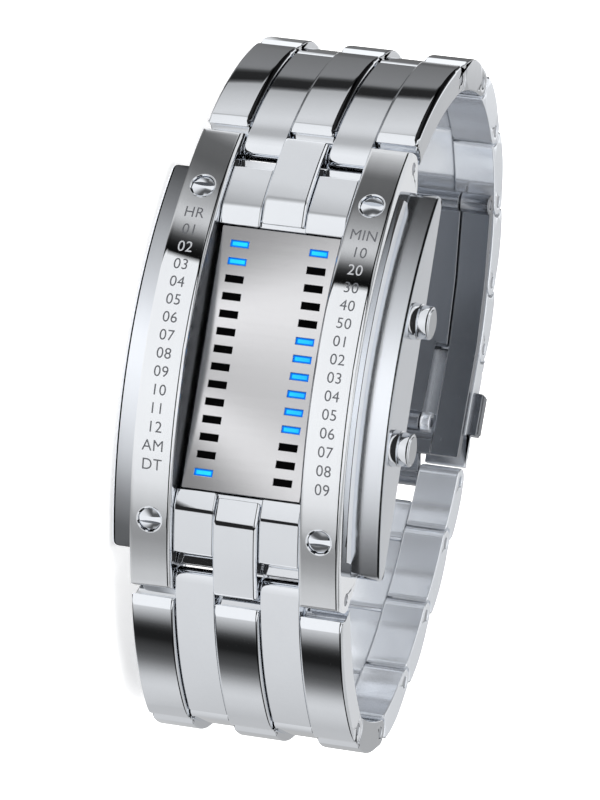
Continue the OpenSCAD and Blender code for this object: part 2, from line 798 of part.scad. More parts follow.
module clasp_cover() {
    outer_clear = outer_half_t + knuckle_gap;
    channel = [button_l / 2 + button_play, button_h / 2 + button_play];
    color("silver") difference() {
        union() {
            across(-half_w, half_w) in_cover() cover_outline(outer_clear);
            for (w = [-inner_edge, centre_edge]) across(w + side_gap, w + inner_col - side_gap) in_cover() {
                translate([0, -inner_half_t]) square([outer_clear + 0.5, 2 * inner_half_t]);
                circle(r = inner_half_t);
            }
            both_sides() across(bar_half_w + ear_play, bar_half_w + ear_play + ear_t) {
                translate(blade_bar) circle(r = hinge_r);
                in_cover() translate([cover_l - bar_inset - hinge_r, -hinge_offset])
                    square([2 * hinge_r, hinge_offset]);
            }
        }
        across(-inner_edge, inner_edge) in_cover()
            translate([cover_l - notch_l, -2 * outer_half_t]) square([notch_l + 1, 4 * outer_half_t]);
        across(-2 * half_w, 2 * half_w) in_cover()
            translate([cover_l - bar_inset + pocket_start, -outer_half_t - eps])
                square([bar_inset, 2 * outer_half_t - pocket_roof]);
        across(-2 * half_w, 2 * half_w) in_cover() translate([cover_l / 2 - channel.x, -channel.y])
            square(2 * channel);
        for (k = [-2, -1, 1, 2]) across(-2 * half_w, 2 * half_w) in_cover()
            translate([cover_l / 2 + sign(k) * (button_l / 2 + (abs(k) - 1) * groove_pitch + 0.1), outer_half_t])
                circle(r = 0.25);
        bore_at(cover_start, pin_r + pin_play);
        bore_at(blade_bar, hinge_pin_r + pin_play, -blade_half_w, blade_half_w);
    }
}

// A strip of the leaf's thickness along a run of points
module strip(points) {
    for (i = [0:len(points) - 2]) {
        a = points[i];
        b = points[i + 1];
        translate(a) rotate(heading(a, b)) translate([0, -leaf_t / 2]) square([norm(b - a), leaf_t]);
        if (i > 0) translate(a) circle(r = leaf_t / 2);
    }
}

module clasp_leaf() {
    neck = inside_of(cover_end, cover_tilt, leaf_offset) - (leaf_stop + 0.8) * cover_way;
    color("slategray") difference() {
        union() {
            both_sides() across(half_w - side_gap - leg_w, half_w - side_gap) {
                strip([hinge_root, leaf_bend_1, leaf_bend_2, leaf_end]);
                translate(leaf_hinge) circle(r = hinge_r);
            }
            across(-half_w + side_gap, half_w - side_gap) translate(leaf_end) rotate(cover_tilt)
                translate([-bar_inset + leaf_stop + cross_start, -leaf_t / 2])
                    square([bar_inset - leaf_stop - cross_start, leaf_t]);
            across(-inner_edge + side_gap, inner_edge - side_gap) {
                translate(cover_end) circle(r = inner_half_t);
                translate(cover_end) rotate(heading(cover_end, neck)) translate([0, -neck_half_w])
                    square([norm(neck - cover_end), 2 * neck_half_w]);
            }
        }
        bore_at(cover_end, pin_r + eps);
        bore_at(leaf_hinge, hinge_pin_r + eps);
    }
}

module clasp_blade() {
    color("slategray") difference() {
        union() {
            across(-bar_half_w, bar_half_w) {
                strip([leaf_bend_2, bar_root]);
                translate(blade_bar) circle(r = hinge_r);
            }
            across(-blade_half_w, blade_half_w) {
                strip([hinge_root, leaf_bend_1, leaf_bend_2]);
                translate(leaf_bend_2) circle(r = leaf_t / 2);
                translate(leaf_hinge) circle(r = hinge_r);
            }
        }
        bore_at(leaf_hinge, hinge_pin_r + pin_play);
        bore_at(blade_bar, hinge_pin_r + eps);
    }
}

module clasp_hinge_pin() {
    color("gray") bore_at(leaf_hinge, hinge_pin_r, -half_w + 2 * side_gap, half_w - 2 * side_gap);
}

// The bar that joins blade and cover
module clasp_spring_bar() {
    w = bar_half_w + ear_play + ear_t;
    color("gray") bore_at(blade_bar, hinge_pin_r, -w, w);
}

module button() {
    across(half_w - button_in, half_w + button_out - 0.2) in_cover()
        translate([(cover_l - button_l) / 2, -button_h / 2]) square([button_l, button_h]);
    across(half_w + button_out - 0.2 - eps, half_w + button_out) in_cover()
        translate([(cover_l - button_l) / 2 + 0.2, -button_h / 2 + 0.2]) square([button_l - 0.4, button_h - 0.4]);
}

module right_button() {
    color("dimgray") button();
}

module left_button() {
    color("dimgray") translate([0, 0, 2 * mid_z]) mirror([0, 0, 1]) button();
}

module button_spring() {
    w = half_w - button_in;
    p = cover_start + turned([cover_l / 2, 0], cover_tilt);
    color("gray") difference() {
        bore_at(p, 0.7, -w, w);
        bore_at(p, 0.45);
    }
}

case_body();
case_back();
back_gasket();
back_screws();
left_rail();
right_rail();
rail_screws();
left_wing();
right_wing();
upper_end_piece();
lower_end_piece();
display_plate();
lit_windows();
dark_windows();
circuit_board();
light_chips();
controller_chip();
quartz_can();
switch_contacts();
coin_cell();
cell_clip();
movement_frame();
upper_pusher();
lower_pusher();
pusher_springs();
pusher_seals();
lug_pins();
upper_link(1);  // upper_link_1
upper_link(2);  // upper_link_2
upper_link(3);  // upper_link_3
upper_link(4);  // upper_link_4
upper_link(5);  // upper_link_5
upper_link(6);  // upper_link_6
lower_link(1);  // lower_link_1
lower_link(2);  // lower_link_2
lower_link(3);  // lower_link_3
lower_link(4);  // lower_link_4
lower_link(5);  // lower_link_5
lower_link(6);  // lower_link_6
upper_pin(1);  // upper_pin_1
upper_pin(2);  // upper_pin_2
upper_pin(3);  // upper_pin_3
upper_pin(4);  // upper_pin_4
upper_pin(5);  // upper_pin_5
upper_pin(6);  // upper_pin_6
lower_pin(1);  // lower_pin_1
lower_pin(2);  // lower_pin_2
lower_pin(3);  // lower_pin_3
lower_pin(4);  // lower_pin_4
lower_pin(5);  // lower_pin_5
open_pin();  // lower_pin_6
clasp_cover();
clasp_leaf();
clasp_blade();
clasp_hinge_pin();
clasp_spring_bar();
left_button();
right_button();
button_spring();
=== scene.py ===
"""LED wrist watch on a five-column steel bracelet.

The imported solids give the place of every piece. The visible pieces are drawn again here as bars cut from
side outlines, with broken edges, turned pushers, slotted screws and labels, and dressed in worn, polished
and brushed steel. The watch lies on its left wing: +X is 6 o'clock, -Y the way the dial faces, +Z 3 o'clock.
Lengths are in millimetres, and in metres for textures, lamps and the stage.
"""

import logging
import math
from collections.abc import Callable, Iterable
from dataclasses import dataclass, field
from enum import Enum

import bmesh
import bpy
from mathutils import Matrix, Vector


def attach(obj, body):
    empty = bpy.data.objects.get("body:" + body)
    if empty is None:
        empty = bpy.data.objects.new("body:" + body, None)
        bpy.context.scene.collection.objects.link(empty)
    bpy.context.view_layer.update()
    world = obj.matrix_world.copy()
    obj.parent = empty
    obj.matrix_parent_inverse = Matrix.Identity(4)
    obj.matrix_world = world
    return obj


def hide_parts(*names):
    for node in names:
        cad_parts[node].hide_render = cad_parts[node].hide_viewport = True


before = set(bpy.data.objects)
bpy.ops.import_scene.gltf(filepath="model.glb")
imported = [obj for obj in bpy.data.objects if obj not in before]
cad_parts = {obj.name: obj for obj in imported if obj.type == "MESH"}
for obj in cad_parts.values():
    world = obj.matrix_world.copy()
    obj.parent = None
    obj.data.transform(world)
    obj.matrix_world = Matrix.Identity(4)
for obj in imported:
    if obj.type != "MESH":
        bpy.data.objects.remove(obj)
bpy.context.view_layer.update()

MM = 0.001
FILM = 0.02
SAME = 0.01
FOLD = math.radians(28)
LONG_FACET = 0.6
LINK_FACET = 0.5
ROUND_FACET = 0.25
SCUFF_FROM = 0.58
SCUFF_GAIN = 6.0
TEXTURE_DEPTH = 0.00002
CORNER = "corner"
WEIGHT = "bevel_weight_edge"
LOG = logging.getLogger("watch")
Pair = tuple[float, float]
Triple = tuple[float, float, float]


class Slot(Enum):
    """The record's material slots; each drawn piece is handed one, which it does not use."""

    POLISHED = "polished_steel"
    SATIN = "satin_steel"
    DISPLAY = "brushed_display"
    LIT = "lit_window"
    DARK = "dark_window"
    CHIP = "chip_black"
    DARK_STEEL = "dark_steel"


@dataclass(frozen=True)
class Plan:
    """Sizes in millimetres that the head, the bracelet and the clasp share."""

    middle: float = 14.6
    half_width: float = 11.5
    inner_edge: float = 6.9
    centre_edge: float = 2.4
    side_gap: float = 0.1
    column_half: float = 1.45
    inner_half: float = 1.15
    knuckle_gap: float = 0.25
    lug_x: float = 22.7
    lug_depth: float = 5.2
    bore: float = 0.63
    rail_radius: float = 42.0
    rail_rise: float = 4.1

    @property
    def columns(self) -> tuple[Pair, ...]:
        """Sides of the two outer columns and of the middle one, across the watch."""
        return ((-self.half_width, -self.inner_edge), (-self.centre_edge, self.centre_edge),
                (self.inner_edge, self.half_width))

    @property
    def inner_columns(self) -> tuple[Pair, ...]:
        """Sides of the two low columns between them."""
        return ((-self.inner_edge + self.side_gap, -self.centre_edge - self.side_gap),
                (self.centre_edge + self.side_gap, self.inner_edge - self.side_gap))

    @property
    def rail_centre(self) -> float:
        """Depth of the centre that the rails' top is drawn about."""
        return self.rail_radius - self.rail_rise

    def rail_top(self, x: float, drop: float = 0.0) -> float:
        """Depth of the head's curved top.

        Args:
            x: Distance from the middle of the watch.
            drop: How far the surface lies under the rails' own top.

        Returns:
            The depth at that distance.
        """
        return self.rail_centre + drop - math.sqrt(self.rail_radius**2 - x**2)


PLAN = Plan()


def arc_steps(radius: float, degrees: float, facet: float) -> int:
    """Number of facets of an arc.

    Args:
        radius: Radius of the arc.
        degrees: Angle that it turns.
        facet: Length wanted for each facet.

    Returns:
        A count of two or more.
    """
    return max(2, round(abs(math.radians(degrees)) * radius / facet))


def linked(name: str, data: bpy.types.ID) -> bpy.types.Object:
    """Adds an object with the given data to the scene."""
    made = bpy.data.objects.new(name, data)
    bpy.context.scene.collection.objects.link(made)
    return made


def mesh_object(name: str, mesh: bmesh.types.BMesh) -> bpy.types.Object:
    """Adds an object with a mesh in the making, which is freed."""
    data = bpy.data.meshes.new(name)
    mesh.to_mesh(data)
    mesh.free()
    return linked(name, data)


def evaluated_mesh(piece: bpy.types.Object) -> bpy.types.Mesh:
    """Makes a mesh from an object as its modifiers or its text leave it."""
    return bpy.data.meshes.new_from_object(piece.evaluated_get(bpy.context.evaluated_depsgraph_get()))


def float_layer(elements: bmesh.types.BMEdgeSeq | bmesh.types.BMVertSeq,
                name: str) -> bmesh.types.BMLayerItem:
    """Gives the named layer of one number for each edge or corner, new if it isn't there yet."""
    return elements.layers.float.get(name) or elements.layers.float.new(name)


def outwards_in_metres(mesh: bmesh.types.BMesh) -> None:
    """Turns a mesh's faces outwards and its millimetres into metres."""
    bmesh.ops.recalc_face_normals(mesh, faces=mesh.faces)
    bmesh.ops.scale(mesh, vec=(MM, MM, MM), verts=mesh.verts)


class Stock:
    """One mesh in the making: bars and turned parts are added to it and it ends as one piece."""

    def __init__(self) -> None:
        """Starts an empty mesh with a width asked for at each corner and edge."""
        self.mesh = bmesh.new()
        self.corner = float_layer(self.mesh.verts, CORNER)
        self.weight = float_layer(self.mesh.edges, WEIGHT)

    def pen(self, x: float, y: float, corner: float = 0.0) -> "Pen":
        """Starts an outline at a point."""
        return Pen(self, x, y, corner)

    def spin(self, geom: list, centre: Vector, steps: int) -> None:
        """Turns corners and edges once round an axis along Z."""
        bmesh.ops.spin(self.mesh, geom=geom, cent=centre, axis=(0, 0, 1), angle=math.tau, steps=steps,
                       use_merge=True)

    def turned(self, profile: Iterable[Pair], centre: Vector, steps: int = 64) -> None:
        """Turns a profile round an axis along Z.

        Args:
            profile: Radius and height of each corner of the profile, from the axis to the axis.
            centre: Foot of the axis.
            steps: Number of facets of the full turn.
        """
        made: list[bmesh.types.BMVert] = []
        for radius, height in profile:
            if made:
                tip = bmesh.ops.extrude_vert_indiv(self.mesh, verts=[made[-1]])["verts"][0]
            else:
                tip = bmesh.ops.create_vert(self.mesh)["vert"][0]
            tip.co = centre + Vector((radius, 0.0, height))
            made.append(tip)
        edges = [e for e in self.mesh.edges if e.verts[0] in made and e.verts[1] in made]
        before = set(self.mesh.verts)
        self.spin(made + edges, centre, steps)
        new = [v for v in self.mesh.verts if v not in before]
        bmesh.ops.remove_doubles(self.mesh, verts=new + made, dist=1e-4)

    def ring(self, profile: Iterable[Pair], steps: int = 64) -> None:
        """Turns a closed profile, which doesn't reach the axis, round the Z axis."""
        made = [bmesh.ops.create_vert(self.mesh, co=(r, 0.0, h))["vert"][0] for r, h in profile]
        edges = []
        for a, b in zip(made, made[1:] + made[:1]):
            edges += bmesh.ops.contextual_create(self.mesh, geom=[a, b])["edges"]
        self.spin(made + edges, Vector(), steps)

    def box(self, low: Triple, high: Triple, edge: float = 0.0) -> None:
        """Adds a block between two corners, its edges broken by the given width."""
        made = bmesh.ops.create_cube(self.mesh, size=1.0)["verts"]
        bmesh.ops.scale(self.mesh, vec=[b - a for a, b in zip(low, high)], verts=made)
        bmesh.ops.translate(self.mesh, vec=[(a + b) / 2 for a, b in zip(low, high)], verts=made)
        for e in {e for v in made for e in v.link_edges}:
            e[self.weight] = edge

    def add(self, other: "Stock") -> None:
        """Adds another stock's mesh to this one and frees it."""
        data = bpy.data.meshes.new("joined")
        other.mesh.to_mesh(data)
        other.mesh.free()
        widths = [0.0] * len(data.edges)
        found = data.attributes.get(WEIGHT)
        if found:
            found.data.foreach_get("value", widths)
        before = len(self.mesh.edges)
        self.mesh.from_mesh(data)
        self.corner = float_layer(self.mesh.verts, CORNER)
        self.weight = float_layer(self.mesh.edges, WEIGHT)
        self.mesh.edges.ensure_lookup_table()
        for number, width in enumerate(widths):
            self.mesh.edges[before + number][self.weight] = width
        bpy.data.meshes.remove(data)

    def move(self, matrix: Matrix) -> "Stock":
        """Places what was made."""
        bmesh.ops.transform(self.mesh, matrix=matrix, verts=self.mesh.verts)
        return self

    def piece(self, name: str, body: str, slot: Slot, material: bpy.types.Material, *, segments: int = 3,
              stands_for: Iterable[str] = (), cutter: "Stock | None" = None) -> None:
        """Makes the piece from the mesh, at the origin with its place in its mesh.

        Args:
            name: Name of the piece.
            body: The moving body that carries it.
            slot: Not used.
            material: Its material.
            segments: Facets across a broken edge.
            stands_for: The solids that it replaces.
            cutter: Closed shapes to cut out of the piece.
        """
        outwards_in_metres(self.mesh)
        for e in self.mesh.edges:
            sharp = len(e.link_faces) == 2 and e.calc_face_angle(0.0) > FOLD
            if not sharp:
                e[self.weight] = 0.0
            e.smooth = not sharp or e[self.weight] > 0.0
        for f in self.mesh.faces:
            f.smooth = True
        piece = mesh_object(name, self.mesh)
        piece.data.materials.append(material)
        bevel = piece.modifiers.new("broken_edges", "BEVEL")
        bevel.limit_method = "WEIGHT"
        bevel.width = MM
        bevel.segments = segments
        bevel.use_clamp_overlap = False
        if cutter:
            cutter.cut_out_of(piece)
        piece.modifiers.new("even_shading", "WEIGHTED_NORMAL").keep_sharp = True
        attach(piece, body)
        if stands_for:
            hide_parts(*stands_for)
        LOG.info("made %s on %s", name, body)

    def cut_out_of(self, piece: bpy.types.Object) -> None:
        """Cuts the closed shapes out of a piece and applies its modifiers, so its edges are broken first."""
        outwards_in_metres(self.mesh)
        tool = mesh_object("tool", self.mesh)
        holes = piece.modifiers.new("holes", "BOOLEAN")
        holes.operation = "DIFFERENCE"
        holes.solver = "EXACT"
        holes.object = tool
        old, piece.data = piece.data, evaluated_mesh(piece)
        piece.modifiers.clear()
        bpy.data.meshes.remove(old)
        piece.data.name = piece.name
        shapes = tool.data
        bpy.data.objects.remove(tool)
        bpy.data.meshes.remove(shapes)


class Pen:
    """Draws one closed side outline, in millimetres, that becomes a bar."""

    def __init__(self, stock: Stock, x: float, y: float, corner: float) -> None:
        """Starts at a point, whose corner is broken by the given width."""
        self.stock = stock
        self.tip = bmesh.ops.create_vert(stock.mesh, co=(x, y, 0.0))["vert"][0]
        self.tip[stock.corner] = corner
        self.made = [self.tip]

    def line(self, x: float, y: float, corner: float = 0.0) -> "Pen":
        """Draws a straight run to a point, whose corner is broken by the given width."""
        self.tip = bmesh.ops.extrude_vert_indiv(self.stock.mesh, verts=[self.tip])["verts"][0]
        self.tip.co = (x, y, 0.0)
        self.tip[self.stock.corner] = corner
        self.made.append(self.tip)
        return self

    def arc(self, cx: float, cy: float, degrees: float, corner: float = 0.0, facet: float = 0.35) -> "Pen":
        """Draws an arc about a centre.

        Args:
            cx: The centre's first coordinate.
            cy: The centre's second coordinate.
            degrees: The angle turned, positive from the first axis towards the second.
            corner: Width by which the corner at its end is broken.
            facet: Length of its facets.

        Returns:
            The pen.
        """
        mesh = self.stock.mesh
        radius = math.hypot(self.tip.co.x - cx, self.tip.co.y - cy)
        before = len(mesh.verts)
        bmesh.ops.spin(mesh, geom=[self.tip], cent=(cx, cy, 0.0), axis=(0, 0, 1), angle=math.radians(degrees),
                       steps=arc_steps(radius, degrees, facet), use_duplicate=False)
        mesh.verts.ensure_lookup_table()
        new = [mesh.verts[i] for i in range(before, len(mesh.verts))]
        for v in new:
            v[self.stock.corner] = 0.0
        self.made += new
        self.tip = new[-1]
        self.tip[self.stock.corner] = corner
        return self

    def bar(self, z0: float, z1: float, rim: float = 0.0, *, holes: Iterable[Triple] = (),
            rim_where: Callable[[Vector], float] | None = None, place: Matrix | None = None) -> None:
        """Closes the outline and draws it out across the watch.

        Args:
            z0: Height of one side of the bar.
            z1: Height of its other side.
            rim: Width by which the edges of its two sides are broken.
            holes: First and second coordinate and radius of each round hole through it.
            rim_where: Gives the width at a point of an outline instead, where it isn't the same all round.
            place: Turns and places the outline in the watch's own plane.
        """
        mesh = self.stock.mesh
        own = set(self.made)
        bmesh.ops.contextual_create(mesh, geom=[self.made[0], self.tip])
        loops = [e for v in self.made for e in v.link_edges if e.other_vert(v) in own]
        for cx, cy, radius in holes:
            ring = bmesh.ops.create_circle(mesh, cap_ends=False, radius=radius, segments=32,
                                           matrix=Matrix.Translation((cx, cy, 0.0)))["verts"]
            own.update(ring)
            loops += [e for v in ring for e in v.link_edges]
        loops = list(dict.fromkeys(loops))
        if holes:
            made = bmesh.ops.triangle_fill(mesh, use_beauty=True, use_dissolve=False, edges=loops)["geom"]
            caps = [f for f in made if isinstance(f, bmesh.types.BMFace)]
        else:
            caps = bmesh.ops.contextual_create(mesh, geom=loops)["faces"]
        out = bmesh.ops.extrude_face_region(mesh, geom=caps)["geom"]
        far = [v for v in out if isinstance(v, bmesh.types.BMVert)]
        bmesh.ops.translate(mesh, vec=(0.0, 0.0, z1 - z0), verts=far)
        both = own | set(far)
        bmesh.ops.translate(mesh, vec=(0.0, 0.0, z0), verts=list(both))
        for e in {e for v in both for e in v.link_edges}:
            a, b = e.verts
            if abs(a.co.z - b.co.z) > 1e-6:
                e[self.stock.weight] = a[self.stock.corner]
            else:
                e[self.stock.weight] = rim_where((a.co + b.co) / 2) if rim_where else rim
        if place:
            bmesh.ops.transform(mesh, matrix=place, verts=list(both))


class Sketch:
    """Adds shader nodes to a material, a world or a node group, and joins them."""

    def __init__(self, tree: bpy.types.NodeTree) -> None:
        """Starts from an empty tree."""
        self.tree = tree
        tree.nodes.clear()

    def node(self, kind: str, **settings: object) -> bpy.types.Node:
        """Adds a node and sets its own settings."""
        made = self.tree.nodes.new(kind)
        for name, value in settings.items():
            setattr(made, name, value)
        return made

    def join(self, source: bpy.types.NodeSocket, target: bpy.types.NodeSocket) -> None:
        """Joins an output to an input."""
        self.tree.links.new(source, target)

    def feed(self, node: bpy.types.Node, **values: object) -> bpy.types.Node:
        """Gives a node's inputs a socket or a fixed value each, and returns the node.

        Args:
            node: The node.
            values: What each input gets; an underscore stands for a space in its name.

        Returns:
            The same node.
        """
        for name, value in values.items():
            target = node.inputs[name.replace("_", " ")]
            if isinstance(value, bpy.types.NodeSocket):
                self.join(value, target)
            else:
                target.default_value = value
        return node

    def math(self, operation: str, *values: object) -> bpy.types.NodeSocket:
        """Adds a sum of up to three values and returns its result."""
        made = self.node("ShaderNodeMath", operation=operation)
        for target, value in zip(made.inputs, (*values, 0.0, 0.0, 0.0)):
            if isinstance(value, bpy.types.NodeSocket):
                self.join(value, target)
            else:
                target.default_value = value
        return made.outputs[0]

    def noise(self, vector: bpy.types.NodeSocket, scale: float, detail: float,
              roughness: float = 0.5) -> bpy.types.NodeSocket:
        """Adds a noise over a position and returns its value."""
        made = self.feed(self.node("ShaderNodeTexNoise"), Vector=vector, Scale=scale, Detail=detail,
                         Roughness=roughness)
        return made.outputs["Fac"]

    def own_place(self, scale: Triple = (1.0, 1.0, 1.0)) -> bpy.types.NodeSocket:
        """Returns the piece's own coordinates, drawn out by a scale along each axis."""
        where = self.node("ShaderNodeTexCoord").outputs["Object"]
        return self.feed(self.node("ShaderNodeMapping"), Vector=where, Scale=scale).outputs["Vector"]

    def ramp(self, value: bpy.types.NodeSocket, stops: Iterable[Pair]) -> bpy.types.NodeSocket:
        """Adds a grey ramp with the given stops and returns its colour."""
        made = self.feed(self.node("ShaderNodeValToRGB"), Fac=value)
        wanted = sorted(stops)
        elements = made.color_ramp.elements
        while len(elements) < len(wanted):
            elements.new(0.5)
        for element, (place, _) in zip(elements, wanted):
            element.position = place
        for element, (_, grey) in zip(elements, wanted):
            element.color = (grey, grey, grey, 1.0)
        return made.outputs["Color"]

    def blend(self, first: Triple, second: Triple, part: bpy.types.NodeSocket) -> bpy.types.NodeSocket:
        """Adds a blend of two colours by a mask and returns its colour."""
        made = self.node("ShaderNodeMix", data_type="RGBA", blend_type="MIX")
        return self.feed(made, Factor=part, A=(*first, 1.0), B=(*second, 1.0)).outputs["Result"]

    def bump(self, height: bpy.types.NodeSocket, strength: float) -> bpy.types.NodeSocket:
        """Adds a bump of the finest texture's depth and returns its normal."""
        made = self.feed(self.node("ShaderNodeBump"), Height=height, Strength=strength,
                         Distance=TEXTURE_DEPTH)
        return made.outputs["Normal"]

    def direct(self) -> bpy.types.NodeSocket:
        """Returns 1 for what the camera sees, also in metal or glass, and 0 for light on dull faces."""
        path = self.node("ShaderNodeLightPath").outputs
        mirrored = self.math("MAXIMUM", path["Is Glossy Ray"], path["Is Transmission Ray"])
        return self.math("MAXIMUM", path["Is Camera Ray"], mirrored)

    def surface(self, shader: bpy.types.NodeSocket, kind: str = "Material") -> None:
        """Ends the tree with a shader on the surface of a material or a world."""
        self.join(shader, self.node(f"ShaderNodeOutput{kind}").inputs["Surface"])


def new_material(name: str) -> tuple[bpy.types.Material, Sketch]:
    """Starts a material with an empty tree."""
    made = bpy.data.materials.new(name)
    made.use_nodes = True
    return made, Sketch(made.node_tree)


def effect(name: str, inputs: dict[str, tuple[str, float | tuple]], outputs: Iterable[str],
           draw: Callable[[Sketch, dict], dict]) -> bpy.types.NodeTree:
    """Builds a shader node group that several materials use.

    Args:
        name: Name of the group.
        inputs: Kind and first value of each named input.
        outputs: Name of each value that it puts out.
        draw: Draws the group from its input sockets and returns a socket for each output.

    Returns:
        The node group.
    """
    tree = bpy.data.node_groups.new(name, "ShaderNodeTree")
    sketch = Sketch(tree)
    for label, (kind, value) in inputs.items():
        tree.interface.new_socket(label, in_out="INPUT", socket_type=kind).default_value = value
    for label in outputs:
        tree.interface.new_socket(label, in_out="OUTPUT", socket_type="NodeSocketFloat")
    start = sketch.node("NodeGroupInput")
    made = draw(sketch, {s.name: s for s in start.outputs if s.name})
    sketch.feed(sketch.node("NodeGroupOutput"), **made)
    return tree


def draw_grain(sketch: Sketch, given: dict) -> dict:
    """Draws fine drawn-out scratches and broad smears: a height, and a shade round one half."""
    fine = sketch.noise(given["Vector"], scale=1.0, detail=4.0, roughness=0.65)
    broad = sketch.noise(given["Vector"], scale=0.12, detail=2.0)
    half = sketch.math("MULTIPLY", fine, 0.5)
    return {"Height": fine, "Shade": sketch.math("MULTIPLY_ADD", broad, 0.5, half)}


def draw_wear(sketch: Sketch, given: dict) -> dict:
    """Draws handling marks: a mask of small scuffs, and a mask of finger smears."""
    scuff = sketch.noise(given["Vector"], scale=900.0, detail=6.0, roughness=0.7)
    cut = sketch.math("MULTIPLY", sketch.math("SUBTRACT", scuff, SCUFF_FROM), SCUFF_GAIN)
    held = sketch.math("MAXIMUM", sketch.math("MINIMUM", cut, 1.0), 0.0)
    return {"Scuffs": sketch.math("MULTIPLY", held, given["Amount"]),
            "Smears": sketch.noise(given["Vector"], scale=160.0, detail=3.0)}


class Shop:
    """Holds the effects that the finishes share."""

    def __init__(self) -> None:
        """Builds each effect once."""
        place = ("NodeSocketVector", (0.0, 0.0, 0.0))
        self.grain = effect("drawn_grain", {"Vector": place}, ("Height", "Shade"), draw_grain)
        self.wear = effect("handling_wear", {"Vector": place, "Amount": ("NodeSocketFloat", 0.5)},
                           ("Scuffs", "Smears"), draw_wear)

    def place(self, sketch: Sketch, group: bpy.types.NodeTree, **values: object) -> bpy.types.Node:
        """Places an effect in a material and gives it its position and strength."""
        return sketch.feed(sketch.node("ShaderNodeGroup", node_tree=group), **values)


@dataclass(frozen=True)
class Steel:
    """A steel finish: its colour, how sharp its reflections are, and the way of its grain."""

    name: str
    colour: Triple
    rough: float
    rough_change: float
    grain: Triple
    bump: float
    wear: float
    shade: float = 0.12
    metal: float = 1.0
    scuff_rough: float = 0.12
    scuff_depth: float = 0.6

    def material(self, shop: Shop) -> bpy.types.Material:
        """Builds the material from the shared effects."""
        made, sketch = new_material(self.name)
        grain = shop.place(sketch, shop.grain, Vector=sketch.own_place(self.grain)).outputs
        wear = shop.place(sketch, shop.wear, Vector=sketch.own_place(), Amount=self.wear).outputs
        low, high = ([min(1.0, c * (1.0 + way * self.shade)) for c in self.colour] for way in (-1, 1))
        smears = sketch.math("SUBTRACT", wear["Smears"], 0.5)
        base = sketch.math("MULTIPLY_ADD", smears, self.rough_change, self.rough)
        height = sketch.math("MULTIPLY_ADD", wear["Scuffs"], -self.scuff_depth, grain["Height"])
        shader = sketch.feed(
            sketch.node("ShaderNodeBsdfPrincipled"), Metallic=self.metal,
            Base_Color=sketch.blend(low, high, grain["Shade"]),
            Roughness=sketch.math("MULTIPLY_ADD", wear["Scuffs"], self.scuff_rough, base),
            Normal=sketch.bump(height, self.bump))
        sketch.surface(shader.outputs["BSDF"])
        return made


@dataclass(frozen=True)
class Moulding:
    """A moulded, painted or glassy finish with a little colour change and texture."""

    name: str
    dark: Triple
    light: Triple
    rough: float
    gloss: float = 0.5
    glow: Triple | None = None
    strength: float = 0.0
    scale: float = 700.0
    bump: float = 0.15
    wear: float = 0.5
    rough_change: float = 0.16
    glow_low: float = 0.82

    def material(self, shop: Shop) -> bpy.types.Material:
        """Builds the material from the shared effects."""
        made, sketch = new_material(self.name)
        where = sketch.own_place()
        speck = sketch.noise(where, self.scale, detail=4.0, roughness=0.55)
        wear = shop.place(sketch, shop.wear, Vector=where, Amount=self.wear).outputs
        shader = sketch.feed(
            sketch.node("ShaderNodeBsdfPrincipled"), Specular_IOR_Level=self.gloss,
            Base_Color=sketch.blend(self.dark, self.light, speck),
            Roughness=sketch.math("MULTIPLY_ADD", wear["Smears"], self.rough_change,
                                  self.rough - self.rough_change / 2),
            Normal=sketch.bump(speck, self.bump))
        if self.glow:
            low = [c * self.glow_low for c in self.glow]
            sketch.feed(shader, Emission_Color=sketch.blend(low, self.glow, speck),
                        Emission_Strength=self.strength)
        sketch.surface(shader.outputs["BSDF"])
        return made


